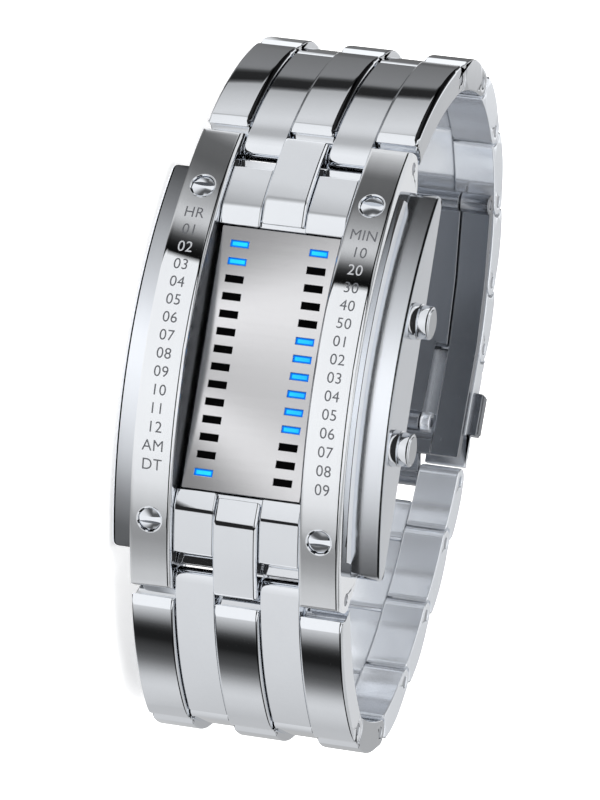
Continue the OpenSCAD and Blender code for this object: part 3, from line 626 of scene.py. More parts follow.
class Finishes:
    """Every material of the watch."""

    steels: tuple[Steel, ...] = (
        Steel("rail_steel", (0.866, 0.887, 0.918), 0.03, 0.015, (500.0, 500.0, 9000.0), 0.04, 0.15, 0.05),
        Steel("mirror_steel", (0.858, 0.886, 0.928), 0.045, 0.02, (2500.0, 2500.0, 2500.0), 0.04, 0.2, 0.04),
        Steel("link_steel", (0.836, 0.867, 0.916), 0.12, 0.04, (2500.0, 2500.0, 2500.0), 0.06, 0.25, 0.05,
              metal=0.78),
        Steel("satin_steel", (0.635, 0.66, 0.70), 0.30, 0.08, (600.0, 9000.0, 600.0), 0.5, 0.4),
        Steel("wing_steel", (0.853, 0.885, 0.937), 0.16, 0.04, (600.0, 600.0, 8000.0), 0.15, 0.2, 0.05),
        Steel("brushed_display", (0.86, 0.86, 0.88), 0.15, 0.03, (14000.0, 600.0, 500.0), 0.04, 0.1, 0.05),
        Steel("screw_steel", (0.853, 0.885, 0.937), 0.09, 0.03, (4000.0, 4000.0, 4000.0), 0.08, 0.3, 0.06),
        Steel("dark_steel", (0.395, 0.413, 0.445), 0.24, 0.06, (700.0, 700.0, 9000.0), 0.4, 0.4),
        # Near-black steel for the case body and the wing feet, which show only in gaps and recesses: painted
        # shade.
        Steel("case_steel", (0.06, 0.061, 0.065), 0.4, 0.08, (700.0, 9000.0, 700.0), 0.3, 0.3, 0.1),
        # Darker steel for the film on the rails' inner flanks: painted shade in the recess.
        Steel("wall_steel", (0.288, 0.305, 0.33), 0.35, 0.08, (700.0, 700.0, 9000.0), 0.3, 0.3, 0.1),
        # Grey, dull steel film for the strip on the rails' outer flanks beside the wings: painted shade.
        Steel("flank_steel", (0.62, 0.64, 0.67), 0.4, 0.06, (700.0, 700.0, 9000.0), 0.2, 0.2, 0.08,
              metal=0.4),
        Steel("cell_steel", (0.70, 0.70, 0.70), 0.25, 0.08, (5000.0, 5000.0, 5000.0), 0.3, 0.3),
        Steel("contact_gold", (0.83, 0.62, 0.25), 0.2, 0.06, (5000.0, 5000.0, 5000.0), 0.2, 0.3),
        Steel("spring_wire", (0.55, 0.55, 0.57), 0.3, 0.08, (2000.0, 2000.0, 9000.0), 0.5, 0.3),
    )
    mouldings: tuple[Moulding, ...] = (
        Moulding("dark_window", (0.0004, 0.0004, 0.0005), (0.001, 0.001, 0.0012), 0.4, 0.02),
        Moulding("lit_rim", (0.0, 0.05, 0.2), (0.0, 0.08, 0.3), 0.3, 0.1, (0.001, 0.17, 0.80), 0.9),
        Moulding("lit_core", (0.0, 0.2, 0.5), (0.0, 0.3, 0.6), 0.3, 0.1, (0.02, 0.36, 0.95), 1.0),
        Moulding("circuit_green", (0.02, 0.13, 0.05), (0.05, 0.22, 0.10), 0.4),
        Moulding("chip_black", (0.015, 0.015, 0.016), (0.04, 0.04, 0.04), 0.5),
        Moulding("light_chip", (0.70, 0.70, 0.66), (0.84, 0.84, 0.80), 0.35),
        Moulding("moulded_black", (0.03, 0.03, 0.032), (0.07, 0.07, 0.07), 0.5),
        Moulding("seal_rubber", (0.02, 0.02, 0.02), (0.05, 0.05, 0.05), 0.65),
        Moulding("label_paint", (0.055, 0.058, 0.065), (0.08, 0.083, 0.09), 0.5, 0.2),
        # Paler label paint for the row in the dark reflection band: painted highlight.
        Moulding("light_label_paint", (0.26, 0.265, 0.28), (0.31, 0.315, 0.33), 0.5, 0.2),
        # Near-black paint for the line on the rails' outer flanks: painted shadow.
        Moulding("groove_dark", (0.01, 0.01, 0.011), (0.03, 0.03, 0.03), 0.45),
    )

    def __init__(self) -> None:
        """Builds all the materials."""
        shop = Shop()
        self.by_name = {f.name: f.material(shop) for f in (*self.steels, *self.mouldings)}

    def __getitem__(self, name: str) -> bpy.types.Material:
        """Gives a material by its name."""
        return self.by_name[name]


def across(width: float) -> float:
    """Height in the frame of a distance from the watch's middle, in millimetres."""
    return PLAN.middle + width


def crisp_copy(node: str, edge: float) -> Stock:
    """Copies a solid with its faces merged and its edges broken.

    Args:
        node: The solid's name.
        edge: Width of the broken edges.

    Returns:
        The copy, in millimetres.
    """
    stock = Stock()
    stock.mesh.from_mesh(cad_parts[node].data)
    stock.weight = float_layer(stock.mesh.edges, WEIGHT)
    bmesh.ops.scale(stock.mesh, vec=(1 / MM, 1 / MM, 1 / MM), verts=stock.mesh.verts)
    bmesh.ops.remove_doubles(stock.mesh, verts=stock.mesh.verts, dist=0.002)
    bmesh.ops.dissolve_limit(stock.mesh, angle_limit=math.radians(0.6), verts=stock.mesh.verts,
                             edges=stock.mesh.edges, use_dissolve_boundaries=False)
    for e in stock.mesh.edges:
        e[stock.weight] = edge
    return stock


@dataclass(frozen=True)
class Column:
    """One raised column of an end piece: its sides, its top and its sloping front."""

    sides: Pair
    drop: float
    stop: float
    rim: float
    front: float = -0.1
    start: float = 13.95
    bevel_end: float = 15.8
    corner: float = 0.75
    has_lug: bool = False


@dataclass
class Head:
    """The head: case, rails, wings, end pieces, display, screws and pushers."""

    finishes: Finishes
    case_end: float = 17.45
    seat: float = 1.7
    heel: Pair = (20.5, 6.4)
    rail_end: float = 24.15
    rail_corner: float = 0.3
    rail_rims: Pair = (0.5, 0.55)
    rail_low_rim: float = 0.1
    wall_half: float = 14.0
    wall_drop: float = 0.34
    screw_x: float = 17.6
    screw_radius: float = 1.22
    screw_room: float = 0.2
    screw_depth: float = 0.9
    screw_play: float = 0.02
    clear_above: float = 3.0
    dome: int = 28
    dome_inset: float = 0.05
    dome_sunk: float = 0.14
    dome_foot: float = 0.2
    slot_half: float = 0.34
    slot_depth: float = 0.22
    seat_ring: tuple[Pair, ...] = ((0.24, -0.12), (0.21, 0.035), (0.13, 0.04), (0.03, -0.02), (0.01, -0.3),
                                   (0.2, -0.34))
    line_widths: tuple[Pair, ...] = ((-19.0, 1.5), (-17.3, 1.0), (-15.3, 0.5), (-13.4, 0.2), (-12.0, 0.12),
                                     (19.0, 0.12))
    line_drop: float = 2.5
    line_bend: float = -13.4
    line_lift: float = 0.2
    wing_radius: float = 40.0
    wing_rise: float = 0.1
    wing_half: float = 20.3
    wing_floor: float = 7.3
    wing_corner: float = 1.1
    wing_from: float = 11.53
    wing_to: float = 14.6
    wing_rims: Pair = (0.04, 0.42)
    foot_half: float = 14.0
    foot_under: float = 1.8
    foot_floor: float = 6.1
    foot_from: float = 11.4
    foot_to: float = 12.3
    end_floor: float = 4.0
    end_outlet: float = 20.5
    shelf: Pair = (20.3, 21.32)
    pusher_x: float = 6.65
    pusher_depth: float = 3.0
    pusher_bore: float = 1.94
    pusher_profile: tuple[Pair, ...] = (
        (0.0, 24.9), (0.7, 24.9), (0.7, 28.4), (1.9, 28.4), (1.9, 29.92), (1.87, 29.99),
        (1.8, 30.02), (1.7, 30.03), (1.68, 30.08), (1.74, 30.12), (1.77, 30.2), (1.77, 31.02),
        (1.74, 31.12), (1.66, 31.2), (1.56, 31.22), (1.52, 31.2), (1.46, 31.22), (1.4, 31.29),
        (0.0, 31.3))
    window_rows: int = 14
    row_pitch: float = 1.85
    window_offset: float = 4.3
    window_half: Pair = (0.335, 0.96)
    window_depths: Pair = (0.14, 1.75)
    window_edge: float = 0.06
    core_half: Pair = (0.21, 0.82)
    core_depths: Pair = (0.1, 0.5)
    core_edge: float = 0.08
    lit: dict[int, tuple[int, ...]] = field(
        default_factory=lambda: {-1: (0, 1, 13), 1: (0, 5, 6, 7, 8, 9, 10)})
    words: dict[int, tuple[str, ...]] = field(default_factory=lambda: {
        -1: ("HR", *[f"{hour:02}" for hour in range(1, 13)], "AM", "DT"),
        1: ("MIN", *[str(minute) for minute in range(10, 60, 10)],
            *[f"{minute:02}" for minute in range(1, 10)])})
    word_size: float = 1.62
    word_spacing: float = 1.05
    word_pitch: float = 1.904
    word_shift: dict[int, float] = field(default_factory=lambda: {-1: 1.19, 1: 0.89})
    word_z: float = 9.25
    word_lift: float = 0.006
    # The row whose labels lie in the dark reflection band, painted paler as a highlight.
    pale_row: int = 2

    def build(self) -> None:
        """Builds the whole head."""
        for side, rail, wing in ((-1, "left_rail", "left_wing"), (1, "right_rail", "right_wing")):
            self.rail(rail, side)
            self.wing(wing, side)
            self.labels("hour_labels" if side < 0 else "minute_labels", side)
        for end, name in ((-1, "upper_end_piece"), (1, "lower_end_piece")):
            self.end_piece(name, end)
        self.screws()
        self.display()
        self.windows()
        for end, name in ((-1, "upper_pusher"), (1, "lower_pusher")):
            self.pusher(name, end)

    def between(self, side: int, near: float, far: float) -> list[float]:
        """Gives the two heights of a bar on one side, the lower one first."""
        return sorted((across(side * near), across(side * far)))

    def rail(self, name: str, side: int) -> None:
        """Builds one side rail with its two lugs, a darker steel strip on its inner flank that paints the
        shade of the recess beside the display, and the painted shade on its outer flank.

        Args:
            name: Name of its solid.
            side: -1 for the left rail and 1 for the right one.
        """
        stock = Stock()
        lug_x, lug_y = PLAN.lug_x, PLAN.lug_depth
        heel_x, heel_y = self.heel
        r = PLAN.column_half
        slope = math.degrees(math.atan2(lug_x - heel_x, heel_y - lug_y))
        out = (r * math.cos(math.radians(slope)), r * math.sin(math.radians(slope)))
        sweep = 2 * math.degrees(math.asin(self.rail_end / PLAN.rail_radius))
        pen = stock.pen(self.case_end, self.seat)
        pen.line(self.case_end, heel_y + r).line(heel_x, heel_y + r)
        pen.arc(heel_x, heel_y, slope - 90).line(lug_x + out[0], lug_y + out[1]).arc(lug_x, lug_y, -slope)
        pen.line(self.rail_end, PLAN.rail_top(self.rail_end), self.rail_corner)
        pen.arc(0.0, PLAN.rail_centre, -sweep, self.rail_corner, facet=LONG_FACET)
        pen.line(-self.rail_end, lug_y).arc(-lug_x, lug_y, -slope)
        pen.line(-heel_x - out[0], heel_y + out[1]).arc(-heel_x, heel_y, slope - 90)
        pen.line(-self.case_end, heel_y + r).line(-self.case_end, self.seat)
        inner = across(side * PLAN.inner_edge)

        def rim(at: Vector) -> float:
            """Gives the broken edges of the top their own widths."""
            if at.y > PLAN.rail_top(at.x) + 0.15:
                return self.rail_low_rim
            return self.rail_rims[0] if abs(at.z - inner) < SAME else self.rail_rims[1]

        pen.bar(*self.between(side, PLAN.inner_edge, PLAN.half_width), rim_where=rim,
                holes=[(x, lug_y, PLAN.bore) for x in (-lug_x, lug_x)])
        recess = self.screw_radius + self.screw_room
        cutter = Stock()
        for end in (-1, 1):
            tool = Stock()
            tool.turned([(0.0, -self.screw_depth), (recess, -self.screw_depth), (recess, self.clear_above),
                         (0.0, self.clear_above)], Vector())
            cutter.add(tool.move(self.screw_place(end, side)))
        stock.piece(name, "head", Slot.POLISHED, self.finishes["rail_steel"], stands_for=[name],
                    cutter=cutter)
        # A darker steel film over the rail's inner flank, under its top: painted shade in the recess beside
        # the display.
        wall = Stock()
        half = self.wall_half
        turn = 2 * math.degrees(math.asin(half / PLAN.rail_radius))
        pen = wall.pen(half, self.seat).line(half, PLAN.rail_top(half, self.wall_drop))
        pen.arc(0.0, PLAN.rail_centre + self.wall_drop, -turn, facet=LONG_FACET).line(-half, self.seat)
        pen.bar(*self.between(side, PLAN.inner_edge, PLAN.inner_edge - FILM))
        wall.piece(name + "_wall", "head", Slot.SATIN, self.finishes["wall_steel"])
        self.flank(name, side)

    def flank(self, name: str, side: int) -> None:
        """Paints shade on a rail's outer flank beside its wing: a black painted-shadow line, wide at 12
        o'clock, over a grey painted-shade strip.

        Args:
            name: Name of the rail.
            side: -1 for the left rail and 1 for the right one.
        """
        steps = [0.5 * i for i in range(-38, 39)]

        def upper(x: float) -> float:
            """Depth of the dark line's upper edge."""
            return PLAN.rail_top(x) + self.line_drop - self.line_lift * max(0.0, self.line_bend - x)

        def lower(x: float) -> float:
            """Depth of the dark line's lower edge."""
            for (x0, w0), (x1, w1) in zip(self.line_widths, self.line_widths[1:]):
                if x <= x1:
                    break
            return upper(x) + w0 + (w1 - w0) * (x - x0) / (x1 - x0)

        def floor(x: float) -> float:
            """Depth of the grey strip's lower edge, just under the wing's top."""
            return self.wing_depth(x) + 0.6

        # The line is a black film painted as shadow and the strip a grey, dull steel film painted as shade;
        # neither is a real mark on the rail.
        for part, finish, above, below in (("line", "groove_dark", upper, lower),
                                           ("flank", "flank_steel", lower, floor)):
            stock = Stock()
            pen = stock.pen(steps[0], above(steps[0]))
            for x in steps[1:]:
                pen.line(x, above(x))
            for x in reversed(steps):
                pen.line(x, below(x))
            pen.bar(*self.between(side, PLAN.half_width, PLAN.half_width + FILM))
            stock.piece(f"{name}_{part}", "head", Slot.SATIN, self.finishes[finish])

    def wing_depth(self, x: float) -> float:
        """Depth of a wing's top at a distance from the watch's middle."""
        return self.wing_radius - self.wing_rise - math.sqrt(self.wing_radius**2 - x * x)

    def screw_place(self, end: int, side: int) -> Matrix:
        """Gives the place of one rail screw, its axis square to the rail's top."""
        x = end * self.screw_x
        z = across(side * (PLAN.half_width + PLAN.inner_edge) / 2)
        lean = Matrix.Rotation(math.asin(x / PLAN.rail_radius), 4, "Z")
        return Matrix.Translation((x, PLAN.rail_top(x), z)) @ lean @ Matrix.Rotation(math.pi / 2, 4, "X")

    def screws(self) -> None:
        """Builds the four domed, slotted screws, each with the bright seat that it lies in."""
        seats = Stock()
        r = self.screw_radius
        half = math.radians(self.dome)
        ball = (r - self.dome_inset) / math.sin(half)
        sunk = ball * math.cos(half) + self.dome_sunk
        dome = [(ball * math.sin(math.radians(a)), ball * math.cos(math.radians(a)) - sunk)
                for a in range(self.dome, 0, -2)]
        neck = r - self.screw_play
        head = [(0.0, -self.screw_depth), (neck, -self.screw_depth), (neck, -self.dome_foot), *dome,
                (0.0, ball - sunk)]
        for end, name in ((-1, "upper_screw_heads"), (1, "lower_screw_heads")):
            stock, slots = Stock(), Stock()
            for side in (-1, 1):
                place = self.screw_place(end, side)
                one, slot, ring = Stock(), Stock(), Stock()
                one.turned(head, Vector())
                slot.box((-self.slot_half, -2.0, -self.slot_depth), (self.slot_half, 2.0, 1.0))
                ring.ring([(r + out, up) for out, up in self.seat_ring])
                stock.add(one.move(place))
                slots.add(slot.move(place))
                seats.add(ring.move(place))
            stock.piece(name, "head", Slot.POLISHED, self.finishes["screw_steel"], cutter=slots,
                        stands_for=["rail_screws"] if end < 0 else [])
        seats.piece("rail_screw_seats", "head", Slot.POLISHED, self.finishes["mirror_steel"])

    def wing(self, name: str, side: int) -> None:
        """Builds one wing bar with its foot on the case, the foot near black as painted shade in the gap
        under the wing.

        Args:
            name: Name of its solid.
            side: -1 for the left wing and 1 for the right one, which is bored for the pushers.
        """
        stock = Stock()
        radius, corner, low = self.wing_radius, self.wing_corner, self.wing_floor - self.wing_corner
        x = self.wing_half - corner
        centre = radius - self.wing_rise
        y = centre - math.sqrt((radius - corner) ** 2 - x * x)
        lean = math.asin(x / (radius - corner))
        turn = math.degrees(lean)
        pen = stock.pen(radius * math.sin(lean), centre - radius * math.cos(lean))
        pen.arc(x, y, 90 - turn, facet=0.15).line(self.wing_half, low)
        pen.arc(x, low, 90, facet=0.2).line(-x, self.wing_floor)
        pen.arc(-x, low, 90, facet=0.2).line(-self.wing_half, y)
        pen.arc(-x, y, 90 - turn, facet=0.15).arc(0.0, centre, 2 * turn - 0.8, facet=LONG_FACET)
        outer = across(side * self.wing_to)
        ends = (-1, 1) if side > 0 else ()
        holes = [(end * self.pusher_x, self.pusher_depth, self.pusher_bore) for end in ends]

        def rim(at: Vector) -> float:
            """Breaks the outer edge a little more than the inner one, and leaves the bores' edges sharp."""
            if any(math.hypot(at.x - hx, at.y - hy) < hr + 0.16 for hx, hy, hr in holes):
                return 0.0
            return self.wing_rims[1] if abs(at.z - outer) < SAME else self.wing_rims[0]

        pen.bar(*self.between(side, self.wing_from, self.wing_to), rim_where=rim, holes=holes)
        stock.piece(name, "head", Slot.SATIN, self.finishes["wing_steel"], stands_for=[name])
        # The foot is painted near black: a dark block that stands for the shade in the gap between rail and
        # wing.
        foot = Stock()
        half, under, floor = self.foot_half, self.foot_under, self.foot_floor
        turn = 2 * math.degrees(math.asin(half / radius))
        pen = foot.pen(half, self.wing_depth(half) + under).arc(0.0, centre + under, -turn, facet=LONG_FACET)
        pen.line(-half, floor).line(half, floor).bar(*self.between(side, self.foot_from, self.foot_to))
        foot.piece(name + "_foot", "head", Slot.SATIN, self.finishes["case_steel"])

    def end_piece(self, name: str, end: int) -> None:
        """Builds the raised columns between the rails at one end, and the shelves beside the middle one.

        Args:
            name: Name of its solid.
            end: -1 for the 12 o'clock end and 1 for the 6 o'clock end.
        """
        stock = Stock()
        turn = Matrix.Scale(float(end), 4, (1.0, 0.0, 0.0))
        edge = PLAN.centre_edge
        for low, high in PLAN.inner_columns:
            self.column(stock, Column((low - 0.05, high + 0.05), drop=0.75, stop=20.4, rim=0.2), turn)
        middle = Column((-edge, edge), drop=0.1, stop=self.rail_end, rim=0.4, front=-0.2, start=14.4,
                        bevel_end=17.0, corner=0.4, has_lug=True)
        self.column(stock, middle, turn)
        core = Column((-edge - 0.1, edge + 0.1), drop=1.25, stop=20.0, rim=0.0, front=0.4, corner=0.0)
        self.column(stock, core, turn)
        near, far = sorted(end * x for x in self.shelf)
        for low, high in PLAN.inner_columns:
            stock.box((near, self.end_floor - 0.03, across(low)), (far, self.end_floor + 0.2, across(high)),
                      0.02)
        stock.piece(name, "head", Slot.POLISHED, self.finishes["mirror_steel"], stands_for=[name], segments=6)

    def column(self, stock: Stock, own: Column, turn: Matrix) -> None:
        """Draws one column of an end piece with its sloping front edge."""
        radius = PLAN.rail_radius
        sweep = math.degrees(math.asin(own.stop / radius) - math.asin(own.bevel_end / radius))
        pen = stock.pen(own.start, self.end_floor).line(own.start, own.front, 0.1)
        pen.line(own.bevel_end, PLAN.rail_top(own.bevel_end, own.drop), own.corner)
        pen.arc(0.0, PLAN.rail_centre + own.drop, sweep, 0.2, facet=LONG_FACET)
        if own.has_lug:
            pen.line(own.stop, PLAN.lug_depth).arc(PLAN.lug_x, PLAN.lug_depth, 180)
            pen.line(self.end_outlet, PLAN.lug_depth).line(self.end_outlet, self.end_floor)
        else:
            pen.line(own.stop, self.end_floor)
        low, high = own.sides
        pen.bar(across(low), across(high), own.rim, place=turn)

    def display(self) -> None:
        """Breaks the edges of the brushed display plate and its slots."""
        crisp_copy("display_plate", 0.05).piece(
            "display_face", "head", Slot.DISPLAY, self.finishes["brushed_display"],
            stands_for=["display_plate"], segments=2)

    def windows(self) -> None:
        """Builds the dark windows, and the lit ones with a bright core in a dim body."""
        dark, rim, core = Stock(), Stock(), Stock()

        def lens(stock: Stock, x: float, z: float, half: Pair, depths: Pair, edge: float) -> None:
            """Adds one block at a slot."""
            stock.box((x - half[0], depths[0], z - half[1]), (x + half[0], depths[1], z + half[1]), edge)

        for side, lit in self.lit.items():
            for row in range(self.window_rows):
                x = (row - (self.window_rows - 1) / 2) * self.row_pitch
                z = across(side * self.window_offset)
                lens(rim if row in lit else dark, x, z, self.window_half, self.window_depths,
                     self.window_edge)
                if row in lit:
                    lens(core, x, z, self.core_half, self.core_depths, self.core_edge)
        dark.piece("dark_lenses", "head", Slot.DARK, self.finishes["dark_window"],
                   stands_for=["dark_windows"])
        rim.piece("lit_lenses", "head", Slot.LIT, self.finishes["lit_rim"], stands_for=["lit_windows"])
        core.piece("lit_cores", "head", Slot.LIT, self.finishes["lit_core"])

    def labels(self, name: str, side: int) -> None:
        """Sets the row labels into one rail's curved top, one row of them in paler paint: a painted highlight
        on the row that lies in the rail's dark reflection band.

        Args:
            name: Name of the piece.
            side: -1 for the hours on the left and 1 for the minutes on the right.
        """
        rows = list(enumerate(self.words[side]))
        # The row in the dark reflection band gets the paler paint, a painted highlight.
        pale = [rows.pop(self.pale_row)]
        self.label_rows(name, side, rows, "label_paint")
        self.label_rows(name + "_light", side, pale, "light_label_paint")

    def label_rows(self, name: str, side: int, rows: Iterable[tuple[int, str]], finish: str) -> None:
        """Sets some of the rows in one paint.

        Args:
            name: Name of the piece.
            side: -1 for the left rail and 1 for the right one.
            rows: Number and word of each row.
            finish: Name of its paint.
        """
        merged = bmesh.new()
        z = across(side * self.word_z)
        middle_row = (len(self.words[side]) - 1) / 2
        for number, word in rows:
            x = (number - middle_row) * self.word_pitch - self.word_shift[side]
            flat = self.drawn_word(word)
            for v in flat.vertices:
                v.co = Vector((x - v.co.y, 0.0, z + v.co.x))
            merged.from_mesh(flat)
            bpy.data.meshes.remove(flat)
        bmesh.ops.remove_doubles(merged, verts=merged.verts, dist=1e-5)
        for v in merged.verts:
            v.co.y = PLAN.rail_top(v.co.x) - self.word_lift
        bmesh.ops.recalc_face_normals(merged, faces=merged.faces)
        for f in merged.faces:
            if f.normal.y > 0:
                f.normal_flip()
        bmesh.ops.scale(merged, vec=(MM, MM, MM), verts=merged.verts)
        piece = mesh_object(name, merged)
        piece.data.materials.append(self.finishes[finish])
        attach(piece, "head")
        LOG.info("made %s", name)

    def drawn_word(self, word: str) -> bpy.types.Mesh:
        """Draws a word flat, in millimetres."""
        curve = bpy.data.curves.new("label", "FONT")
        curve.body = word
        curve.size = self.word_size
        curve.align_x = curve.align_y = "CENTER"
        curve.space_character = self.word_spacing
        drawn = linked("label", curve)
        bpy.context.view_layer.update()
        flat = evaluated_mesh(drawn)
        bpy.data.objects.remove(drawn)
        return flat

    def pusher(self, name: str, end: int) -> None:
        """Turns one pusher: stem, stepped ring, neck and domed cap."""
        stock = Stock()
        stock.turned(self.pusher_profile, Vector((end * self.pusher_x, self.pusher_depth, 0.0)), 96)
        stock.piece(name + "_turned", name, Slot.POLISHED, self.finishes["mirror_steel"], stands_for=[name])


@dataclass(frozen=True)
class Run:
    """One link of the bracelet, drawn along the line between its pins: its curve, its face and its front."""

    start: Vector
    end: Vector
    rims: Pair
    radius: float = 24.0
    crown: float = 0.5
    face: float = 11.0
    clear: float = 1.7
    near: float = 0.95
    bevel: float = 0.6

    @property
    def chord(self) -> float:
        """Distance between its two pins."""
        return (self.end - self.start).length

    @property
    def sag(self) -> float:
        """How far its curve rises over the line between the pins."""
        return self.radius - math.sqrt(self.radius**2 - (self.chord / 2) ** 2)

    @property
    def centre(self) -> Pair:
        """Centre of its curve."""
        return (self.chord / 2, self.sag - self.radius)

    @property
    def sweep(self) -> float:
        """Degrees that its curve turns from pin to pin."""
        return 2 * math.degrees(math.asin(self.chord / 2 / self.radius))

    def at(self, rise: float, degrees: float) -> Pair:
        """Gives the point at a rise over its curve, where 90 degrees is straight out from the centre."""
        turn = math.radians(degrees)
        reach = self.radius + rise
        return (self.centre[0] + reach * math.cos(turn), self.centre[1] + reach * math.sin(turn))

    def part(self, rise: float, distance: float) -> float:
        """Gives the degrees between a pin and where a line over the curve comes that near to it.

        Args:
            rise: How far the line lies over the curve.
            distance: The distance from the pin.

        Returns:
            The angle about the curve's centre, in degrees.
        """
        reach = self.radius + rise
        return math.degrees(math.acos((self.radius**2 + reach**2 - distance**2) / (2 * self.radius * reach)))

    def height(self, s: float) -> float:
        """Height of the crowned face at a distance along the link."""
        top = self.sag + PLAN.column_half + self.crown
        return top - self.face + math.sqrt(self.face**2 - (s - self.chord / 2) ** 2)

    def place(self, mirror: float) -> Matrix:
        """Puts the link's own plane, along and outwards, in the watch's plane."""
        along = (self.end - self.start) / self.chord
        out = Vector((along.y, -along.x)) * mirror
        return Matrix(((along.x, out.x, 0.0, self.start.x), (along.y, out.y, 0.0, self.start.y),
                       (0.0, 0.0, 1.0, 0.0), (0.0, 0.0, 0.0, 1.0)))


@dataclass
class Bracelet:
    """Six links at each end of the head, each of five columns."""

    finishes: Finishes
    upper_slopes: tuple[float, ...] = (47.5, 82.0, 115.0, 140.0, 163.0, 173.0)
    lower_slopes: tuple[float, ...] = (44.5, 92.0, 132.0, 149.0, 158.0, 163.0)
    lengths: tuple[float, ...] = (17.6, 9.0, 9.0, 9.0, 9.0, 7.4)
    upper_rims: Pair = (0.3, 0.7)
    lower_rims: Pair = (0.22, 0.38)
    other_rims: Pair = (0.16, 0.18)
    face_inset: float = 0.7
    rounded_from: float = 68.0
    plain_rim: float = 0.16
    low_rim: float = 0.12
    face_corner: float = 0.05
    low_corner: float = 0.08
    hook: float = 176.0
    web_half: float = 0.8
    web_room: float = 0.5
    web_stop: float = 2.2
    web_inset: float = 1.0
    bridge_part: float = 0.55
    bridge_skip: float = 0.24
    bridge_web: Pair = (0.2, 0.05)

    def build(self) -> None:
        """Builds the twelve links."""
        for name, slopes, mirror, rims in (("upper", self.upper_slopes, -1.0, self.upper_rims),
                                           ("lower", self.lower_slopes, 1.0, self.lower_rims)):
            pin = Vector((mirror * PLAN.lug_x, PLAN.lug_depth))
            for number, (slope, length) in enumerate(zip(slopes, self.lengths), 1):
                lean = math.radians(slope)
                after = pin + length * Vector((mirror * math.cos(lean), math.sin(lean)))
                if number == 1:
                    run = Run(pin, after, rims, radius=32.0, crown=0.15, face=32.0, clear=2.35, near=1.6,
                              bevel=0.75)
                else:
                    run = Run(pin, after, self.other_rims)
                finish = self.finishes["mirror_steel" if number < 3 else "link_steel"]
                self.link(f"{name}_link_{number}", run, run.place(mirror), finish)
                pin = after

    def link(self, name: str, run: Run, place: Matrix, finish: bpy.types.Material) -> None:
        """Builds one link: raised and low columns and the web between them.

        Args:
            name: Name of its solid, and of the body that carries it.
            run: Its curve between its pins.
            place: Puts its own plane in the watch's plane.
            finish: Its material.
        """
        stock, low_stock = Stock(), Stock()
        is_open = name == "lower_link_6"
        for low, high in PLAN.columns:
            if not is_open or low + high:
                self.raised(stock, run, low, high, place)
        if is_open:
            self.bridge(stock, run, place)
        else:
            for low, high in PLAN.inner_columns:
                self.inner(low_stock, run, low, high, place)
            angles = (math.degrees(math.asin((run.chord / 2 - gap) / run.radius))
                      for gap in (run.clear + self.web_room, self.web_stop))
            self.web(low_stock, run, *angles, place)
        if name.endswith("1"):
            low_stock.piece(name + "_low_bars", name, Slot.POLISHED, finish)
        else:
            stock.add(low_stock)
        stock.piece(name + "_bars", name, Slot.POLISHED, finish, stands_for=[name])

    def raised(self, stock: Stock, run: Run, low: float, high: float, place: Matrix) -> None:
        """Draws a raised column: broken front edge, crowned face, broken far edge and round end."""
        chord, h = run.chord, PLAN.column_half
        b0, b1 = run.near + run.bevel, chord - self.face_inset
        turned = math.degrees(math.asin((b1 - chord / 2) / run.face) - math.asin((b0 - chord / 2) / run.face))
        short = run.part(-h, run.clear)
        foot = run.at(-h, 90 + run.sweep / 2 - short)
        tail = 180.0 - math.degrees(math.atan2(run.radius - run.sag, chord / 2))
        front = math.degrees(math.acos(run.near / run.clear) - math.atan2(foot[1], foot[0]))
        far = math.radians(self.rounded_from)

        def rim(at: Vector) -> float:
            """Rounds the long edges of the face, the right one more, and breaks the others."""
            if b0 - SAME < at.x < b1 + SAME and at.y > run.height(at.x) - 0.05:
                return run.rims[1] if abs(at.z - across(high)) < SAME else run.rims[0]
            return self.plain_rim

        pen = stock.pen(run.near, math.sqrt(run.clear**2 - run.near**2), self.face_corner)
        pen.line(b0, run.height(b0), self.face_corner)
        pen.arc(chord / 2, run.height(chord / 2) - run.face, -turned, self.face_corner, 0.45)
        pen.line(chord + h * math.cos(far), h * math.sin(far))
        pen.arc(chord, 0.0, -(self.rounded_from + tail), facet=ROUND_FACET)
        pen.arc(*run.centre, run.sweep - short, facet=LONG_FACET).arc(0.0, 0.0, front, facet=ROUND_FACET)
        pen.bar(across(low), across(high), rim_where=rim, holes=[(chord, 0.0, PLAN.bore)], place=place)

    def inner(self, stock: Stock, run: Run, low: float, high: float, place: Matrix) -> None:
        """Draws a low column, round at its first pin and hollow at the next."""
        chord, h = run.chord, PLAN.inner_half
        clear = h + PLAN.knuckle_gap
        cut_out, cut_in = run.part(h, clear), run.part(-h, clear)
        pen = stock.pen(*run.at(h, 90 + run.sweep / 2))
        pen.arc(*run.centre, cut_out - run.sweep, self.low_corner, LINK_FACET)
        end = run.at(-h, 90 - run.sweep / 2 + cut_in)
        before = math.degrees(math.atan2(pen.tip.co.y, pen.tip.co.x - chord))
        after = math.degrees(math.atan2(end[1], end[0] - chord)) % 360
        pen.arc(chord, 0.0, after - before, self.low_corner, ROUND_FACET)
        pen.arc(*run.centre, run.sweep - cut_in, facet=LINK_FACET)
        pen.arc(0.0, 0.0, -self.hook, facet=ROUND_FACET)
        pen.bar(across(low), across(high), self.low_rim, place=place)

    def web(self, stock: Stock, run: Run, near: float, far: float, place: Matrix,
            facet: float = LONG_FACET) -> None:
        """Draws the strip that holds a link's columns together.

        Args:
            stock: What it is added to.
            run: The link.
            near: Degrees from straight out to its end at the link's first pin.
            far: Degrees from straight out to its other end.
            place: Puts the link's own plane in the watch's plane.
            facet: Length of its facets.
        """
        pen = stock.pen(*run.at(self.web_half, 90 + near)).arc(*run.centre, -near - far, facet=facet)
        pen.line(*run.at(-self.web_half, 90 - far)).arc(*run.centre, near + far, facet=facet)
        half = PLAN.half_width - self.web_inset
        pen.bar(across(-half), across(half), place=place)

